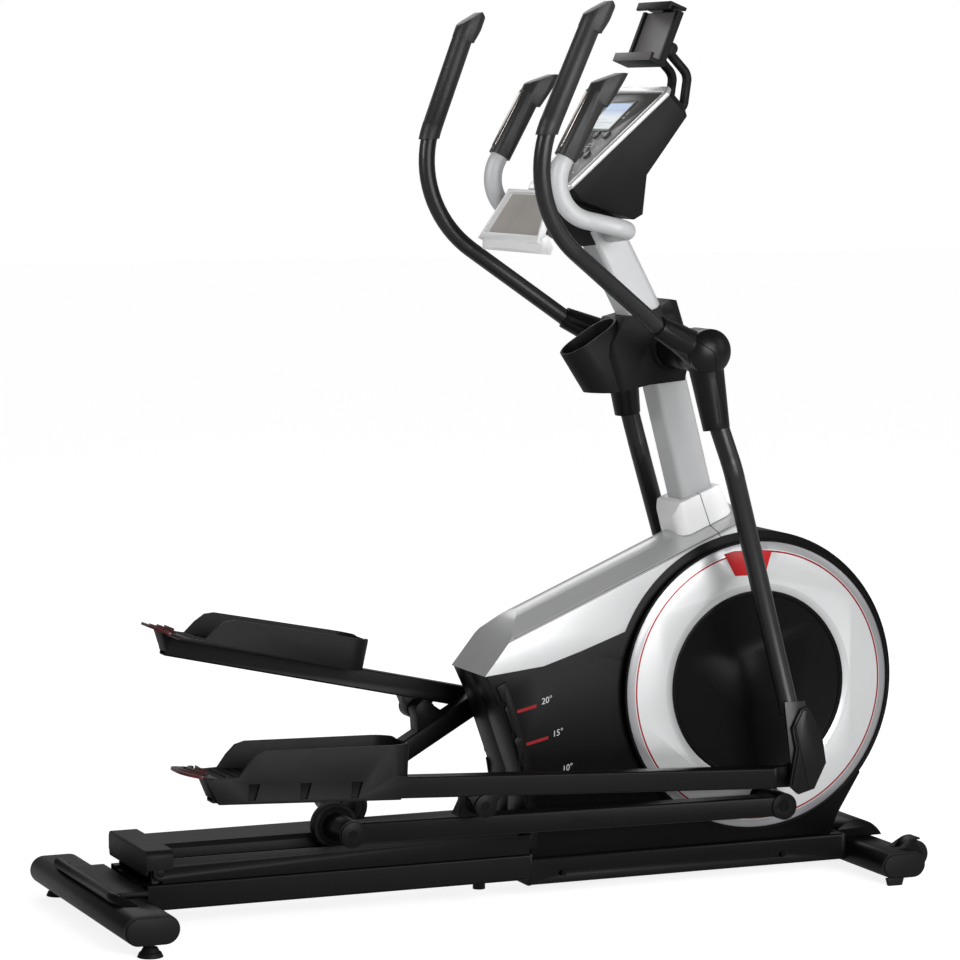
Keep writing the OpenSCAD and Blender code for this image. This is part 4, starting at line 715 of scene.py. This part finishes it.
def add_lamp(name, at, size, power, aim, spread):
    """A square-cornered lamp at a place, aimed at a point, with its spread in degrees."""
    data = bpy.data.lights.new(name, "AREA")
    data.shape = "RECTANGLE"
    data.size, data.size_y = size
    data.energy = power
    data.spread = math.radians(spread)
    lamp = bpy.data.objects.new(name, data)
    lamp.location = at
    lamp.rotation_mode = "QUATERNION"
    lamp.rotation_quaternion = (Vector(aim) - Vector(at)).to_track_quat("-Z", "Y")
    bpy.context.scene.collection.objects.link(lamp)


def add_camera():
    """A long lens behind the right side, turned from straight ahead and dipped a little."""
    eye = bpy.data.cameras.new("eye")
    eye.sensor_width = 36
    eye.lens = 142.5
    eye.clip_end = 100
    camera = bpy.data.objects.new("eye", eye)
    camera.location = (-2.81776, -6.69925, 1.50774)
    turn, dip = 0.394194, 0.0967044
    ahead = Vector((math.sin(turn) * math.cos(dip), math.cos(turn) * math.cos(dip),
                    -math.sin(dip)))
    camera.rotation_mode = "QUATERNION"
    camera.rotation_quaternion = ahead.to_track_quat("-Z", "Y")
    bpy.context.scene.collection.objects.link(camera)
    return camera


# ---------------------------------------------------------------- operators
class TRAINER_OT_stage(bpy.types.Operator):
    """Pale floor, soft studio light and the camera"""
    bl_idname = "trainer.stage"
    bl_label = "Stage"

    def execute(self, context):
        scene = context.scene
        scene.world = studio_air()
        clear_selection()
        bpy.ops.mesh.primitive_plane_add(size=60, location=(0, 0, 0))
        floor = context.object
        floor.name = "floor"
        floor.data.materials.append(floor_finish())
        middle, console = (0, 0, 0.8), (0, 0, 1.5)
        for lamp in (("key_light", (0.9, -5.5, 1.9), (3.4, 2.6), 250, middle, 180),
                     ("fill_light", (4.2, -2.6, 2.4), (1.8, 2.6), 22, middle, 180),
                     ("back_light", (0.8, 4.4, 3.2), (3.5, 1.6), 34, middle, 180),
                     ("tray_light", (-2.5, -0.4, 2.3), (0.8, 0.8), 1.5, console, 32)):
            add_lamp(*lamp)
        scene.camera = add_camera()
        scene.view_settings.view_transform = "Standard"
        return {"FINISHED"}


class TRAINER_OT_finishes(bpy.types.Operator):
    """Materials of every part"""
    bl_idname = "trainer.finishes"
    bl_label = "Finishes"

    def execute(self, context):
        FINISH.update(build_finishes())
        s, c = sizes(), colours()
        ring = finish("Disc Silver", c.silver, 0.30, metal=0.45, spread=0.012, sheen_spread=0.02,
                      size=4, grain=1800, bump=0.015, coat=0.3, coat_rough=0.15)
        # The inner ring is a slightly darker band on the inner bevel, the outer rim is painted shade on the outer
        # bevel, and the red line lies between them
        radial_bands(ring, [(0.1, 0.2, (0.50, 0.505, 0.51, 1)),
                            (0.2665, 0.3, (0.30, 0.30, 0.31, 1)),
                            (s.pinstripe - 0.0017, s.pinstripe + 0.0017, c.pinline)],
                     (s.crank_x, s.crank_z))
        FINISH["disc_silver"] = ring
        cover = finish("Cover Silver", c.silver, 0.30, metal=0.45, spread=0.03, grain=1800,
                       bump=0.03, coat=0.35, coat_rough=0.15)
        collar = finish("Collar Silver", (0.86, 0.862, 0.865, 1), 0.36, metal=0.0, spread=0.03,
                        grain=1800, bump=0.03, coat=0.2, coat_rough=0.2)
        # Both part along a line that runs down and forwards from the foot of the upright
        parting = seam((0.025, -0.069), (0.402, 0.790), 0.0009)
        for key, mat in (("cover_silver", cover), ("collar_silver", collar)):
            FINISH[key] = add_seams(mat, [parting], (0.05, 0.05, 0.05, 1))
        for node, obj in frame["nodes"].items():
            obj.data.materials.clear()
            obj.data.materials.append(FINISH[SLOTS[node]])
        return {"FINISHED"}


class TRAINER_OT_base(bpy.types.Operator):
    """Frame, stabilizers and feet with rounded edges"""
    bl_idname = "trainer.base"
    bl_label = "Base"

    def execute(self, context):
        s = sizes()
        for node in ("base_frame", "front_frame", "rear_stabilizer", "incline_rack"):
            soften(node, s.weld, "black_steel")
        ramp = soften("ramp", s.weld, "black_steel")
        track = 0.130
        paint(ramp, "track_gloss", lambda c, n: n.z > SQUARE and abs(c.z - track) < 0.0015)
        bar = soften("front_stabilizer", 0.0003, "black_steel")
        # The tips of the wheel forks, all that is higher than the bar, end flush with the fenders
        bar_top = 0.09
        move_points(bar, lambda spot: spot.z > bar_top, (0.002, 0, -0.018))
        for node in ("stabilizer_caps", "rear_cover_plate", "front_joint_cover", "ramp_cover",
                     "right_levelling_foot", "left_levelling_foot", "right_transport_wheel",
                     "left_transport_wheel"):
            soften(node, s.edge)
        return {"FINISHED"}


class TRAINER_OT_shroud(bpy.types.Operator):
    """Shroud, silver cover, collar and discs"""
    bl_idname = "trainer.shroud"
    bl_label = "Shroud and discs"

    def execute(self, context):
        s = sizes()
        soften("shroud_right", 0.002)
        soften("shroud_left", 0.002)
        soften("shroud_top_cover", (0.020, 0.006), "cover_silver", angle=(30, 14), segments=5,
               smooth=80)
        soften("upright_collar", 0.004, "collar_silver", segments=3)
        soften("crank_discs", 0.0012)
        rings = soften("disc_rings", 0.0004, "disc_silver")
        badge = 0.10605
        paint(rings, "accent_red", lambda c, n: abs(c.y) > badge)
        soften("crankset", s.weld)
        soften("power_inlet", 0.0006)
        return {"FINISHED"}


class TRAINER_OT_marks(bpy.types.Operator):
    """Slope marks at the rear edge of the shroud"""
    bl_idname = "trainer.marks"
    bl_label = "Slope marks"

    def execute(self, context):
        slope = math.radians(13)
        # Half the thickness of a bar, half its height, its length and the height of a figure
        thick, half, length, tall = 0.00025, 0.0030, 0.050, 0.0165
        for side, sign in SIDES:
            face = sign * SHROUD_FACE
            bars, figures = [], []
            # The rear end of a bar as (x, z), its figures and their middle as (x, z)
            for x, z, words, fx, fz in ((0.001, 0.362, "20°", 0.0715, 0.3825),
                                        (0.026, 0.299, "15°", 0.0945, 0.3180),
                                        (0.050, 0.2305, "10°", 0.1150, 0.2485)):
                bar = shape_box((x, face - thick, z - half), (x + length, face + thick, z + half))
                select_faces(bar, lambda c, n: n.z > SQUARE)
                bpy.ops.transform.translate(value=(0.0022, 0, 0))
                bpy.ops.object.mode_set(mode="OBJECT")
                bars.append(turn_about(bar, (x, 0, z), -slope))
                figures.append(flat_text(words, tall, (fx, face, fz), slope, sign))
            dress(join(bars), side + "_slope_bars", "frame", "mark_red")
            dress(join(figures), side + "_slope_figures", "frame", "mark_pale")
        return {"FINISHED"}


class TRAINER_OT_fasteners(bpy.types.Operator):
    """Screws on the pivots and the frame"""
    bl_idname = "trainer.fasteners"
    bl_label = "Screws"

    def execute(self, context):
        for side, sign in SIDES:
            wheel = joint_place(side + "_arm_tilt")
            hinge = joint_place(side + "_pedal_tilt")
            pin = pin_spot(side)
            # Where each screw stands in side view, how far out its face lies, and its radius
            for name, body, x, z, reach, radius in (
                    ("crank_pin_screw", side + "_arm", pin[0], pin[1], 0.1934, 0.011),
                    ("pedal_hinge_screw", side + "_arm", hinge[0], hinge[2], 0.240, 0.009),
                    ("roller_screw", side + "_carriage", wheel[0], wheel[2], 0.198, 0.009)):
                screw = cap_bolt(x, z, sign * reach, sign, radius)
                dress(screw, side + "_" + name, body, "dark_and_shade")
            # Near-black screw heads stand in the rail holes; their dark is painted shade of the holes
            holes = [cap_bolt(x, z, sign * RAIL_FACE, sign, 0.0055)
                     for x, z in ((0.106, 0.046), (0.580, 0.047))]
            dress(join(holes), side + "_rail_screws", "frame", "dark_and_shade")
        return {"FINISHED"}


class TRAINER_OT_upright(bpy.types.Operator):
    """Upright, axle, bottle holder and pulse bar"""
    bl_idname = "trainer.upright"
    bl_label = "Upright"

    def execute(self, context):
        s = sizes()
        for node, width in (("upright", s.weld), ("pivot_axle", s.edge),
                            ("bottle_holder", 0.003), ("pulse_bar", s.weld),
                            ("pulse_grips", s.edge)):
            soften(node, width)
        strips = soften("pulse_sensors", 0.0005)
        # The sensor strips stand a little proud of the sleeves
        pick(strips)
        bpy.ops.object.mode_set(mode="EDIT")
        bpy.ops.mesh.select_all(action="SELECT")
        bpy.ops.transform.shrink_fatten(value=0.0005)
        bpy.ops.object.mode_set(mode="OBJECT")
        return {"FINISHED"}


class TRAINER_OT_console(bpy.types.Operator):
    """Console, tray and tablet holder"""
    bl_idname = "trainer.console"
    bl_label = "Console"

    def execute(self, context):
        for node, width, look in (
                ("console_housing", 0.004, None), ("console_bezel", 0.0025, "cover_silver"),
                ("console_panel", 0.001, "panel_grey"), ("tablet_arm", 0.001, None),
                ("tablet_clamp", 0.0012, None), ("start_key", 0.0007, None),
                ("stop_key", 0.0007, None), ("level_up_key", 0.0007, None),
                ("level_down_key", 0.0007, None)):
            soften(node, width, look)
        plate = soften("tablet_plate", 0.0012)
        paint(plate, "plate_grey", lambda c, n: n.x < -0.8 and abs(c.y) < 0.07 and c.z > 1.6)
        tray = soften("console_tray", 0.002, "collar_silver")
        # The floor of the tray: its slope, and a point under it by the plate's thickness
        run = Vector((0.048, 0, 0.096)).normalized()
        out = Vector((-run.z, 0, run.x))
        floor = out.dot(Vector((0.036, 0, 1.257))) + 0.004
        paint(tray, "tray_floor",
              lambda c, n: n.dot(out) > 0.95 and abs(out.dot(c) - floor) < 0.0015)
        return {"FINISHED"}


class TRAINER_OT_display(bpy.types.Operator):
    """Screen, key symbols and plain legends of the console"""
    bl_idname = "trainer.display"
    bl_label = "Display and legends"

    def execute(self, context):
        glass = face_box((0.1724, -0.0196, 0.0009), (0.2436, 0.0836, 0.0014), 0.0002)
        dress(glass, "screen_glass", "frame", "screen")
        # The middle of a key as (up, across) on the face, then the symbol's corners and its turn
        for key, sides, turn, body in (((0.101, -0.030), 3, 0.0, "start_key_body"),
                                       ((0.101, 0.004), 4, math.pi / 4, "stop_key_body"),
                                       ((0.156, -0.034), 3, math.pi / 2, "level_up_key_body"),
                                       ((0.156, 0.012), 3, -math.pi / 2, "level_down_key_body")):
            clear_selection()
            bpy.ops.mesh.primitive_cylinder_add(vertices=sides, radius=0.0042, depth=0.0004,
                                                rotation=(0, 0, turn))
            symbol = settle(bpy.context.object)
            select_faces(symbol, lambda c, n: n.z > SQUARE)
            step_face(0.0005, (0, 0, 0.0001))
            bpy.ops.object.mode_set(mode="OBJECT")
            symbol.matrix_world = (Matrix.Translation(on_face(key[0], key[1], 0.0030))
                                   @ Matrix.Rotation(FACE_TURN, 4, "Y"))
            settle(symbol)
            dress(symbol, body.replace("_body", "_symbol"), body, "mark_pale")
        legends = []
        # Plain marks: their middle as (up, across) on the face, and their size
        for u, v, du, dv in ((0.216, -0.034, 0.010, 0.004), (0.204, -0.034, 0.004, 0.010),
                             (0.131, -0.002, 0.0018, 0.026), (0.124, -0.002, 0.0014, 0.034),
                             (0.140, 0.050, 0.0018, 0.018), (0.053, -0.044, 0.003, 0.009),
                             (0.078, -0.013, 0.0016, 0.022)):
            legends.append(face_box((u - du / 2, v - dv / 2, 0.0001),
                                    (u + du / 2, v + dv / 2, 0.0005), 0.0003))
        dress(join(legends), "console_legends", "frame", "mark_pale")
        return {"FINISHED"}


def on_heel(side, point):
    """Whether a point lies on the turned-up heel of a pedal."""
    spot = off_bar(side, point)
    return spot.x < -0.535 and 0.12 < abs(point.y) < 0.24 and spot.z > 0.02


def in_pocket(side, point):
    """Whether a point lies on the floor of a pocket in the skirt of a pedal."""
    pocket_floor = 0.239
    return abs(abs(point.y) - pocket_floor) < 0.0005 and off_bar(side, point).z < 0.0165


class TRAINER_OT_linkage(bpy.types.Operator):
    """Rollers, arms, pedals and swing arms"""
    bl_idname = "trainer.linkage"
    bl_label = "Linkage"

    def execute(self, context):
        s = sizes()
        lean = leg_slope("right")
        for side, _ in SIDES:
            for node, width in (("roller_axle", 0.0012), ("roller_arm", s.weld),
                                ("pedal_arm", s.weld)):
                soften(side + "_" + node, width, "black_steel")
            soften(side + "_roller_wheel", 0.002)
            soften(side + "_swing_arm", s.weld, "tube_gloss")
            soften(side + "_swing_grip", 0.002)
            pedal = soften(side + "_pedal", 0.002)
            paint(pedal, "heel_grey", lambda c, n: on_heel(side, c) and n.z > 0.7)
            paint(pedal, "heel_red", lambda c, n: (on_heel(side, c) and -0.7 < n.z <= 0.7
                                                   and n.x < -0.2))
            # The pocket floors of the pedal are painted near-black: painted shade in the recesses
            paint(pedal, "dark_and_shade", lambda c, n: abs(n.y) > SQUARE and in_pocket(side, c))
            covers = finish("Hub Moulding " + side.title(), colours().shell_black, 0.34,
                            spread=0.15, grain=1100, bump=0.10, specular=0.22)
            # The covers part along the leg and along the handle, which both swing with the arm
            swing = leg_slope(side)
            turn = swing - lean
            hand = (-0.415 * math.cos(turn) - 0.289 * math.sin(turn),
                    -0.415 * math.sin(turn) + 0.289 * math.cos(turn))
            add_seams(covers, [seam((math.sin(swing), -math.cos(swing)), HUB),
                               seam(hand, HUB)], (0.0006, 0.0006, 0.0006, 1))
            FINISH["hub_" + side] = covers
            soften(side + "_swing_covers", 0.002, "hub_" + side)
        return {"FINISHED"}


class TRAINER_PT_panel(bpy.types.Panel):
    """Lists the steps that dress the trainer"""
    bl_idname = "TRAINER_PT_panel"
    bl_label = "Elliptical Trainer"
    bl_space_type = "VIEW_3D"
    bl_region_type = "UI"
    bl_category = "Trainer"

    def draw(self, context):
        for step in STEPS:
            self.layout.operator(step.bl_idname)
        for group in (context.scene.trainer_sizes, context.scene.trainer_colours):
            for key in group.__annotations__:
                self.layout.prop(group, key)


STEPS = (TRAINER_OT_stage, TRAINER_OT_finishes, TRAINER_OT_base, TRAINER_OT_shroud,
         TRAINER_OT_marks, TRAINER_OT_upright, TRAINER_OT_console, TRAINER_OT_display,
         TRAINER_OT_linkage, TRAINER_OT_fasteners)
CLASSES = (TRAINER_PG_sizes, TRAINER_PG_colours) + STEPS + (TRAINER_PT_panel,)


def register():
    for cls in CLASSES:
        bpy.utils.register_class(cls)
    bpy.types.Scene.trainer_sizes = PointerProperty(type=TRAINER_PG_sizes)
    bpy.types.Scene.trainer_colours = PointerProperty(type=TRAINER_PG_colours)


def unregister():
    del bpy.types.Scene.trainer_colours
    del bpy.types.Scene.trainer_sizes
    for cls in reversed(CLASSES):
        bpy.utils.unregister_class(cls)


def main():
    register()
    for step in STEPS:
        group, name = step.bl_idname.split(".")
        getattr(getattr(bpy.ops, group), name)()


if __name__ == "__main__":
    main()
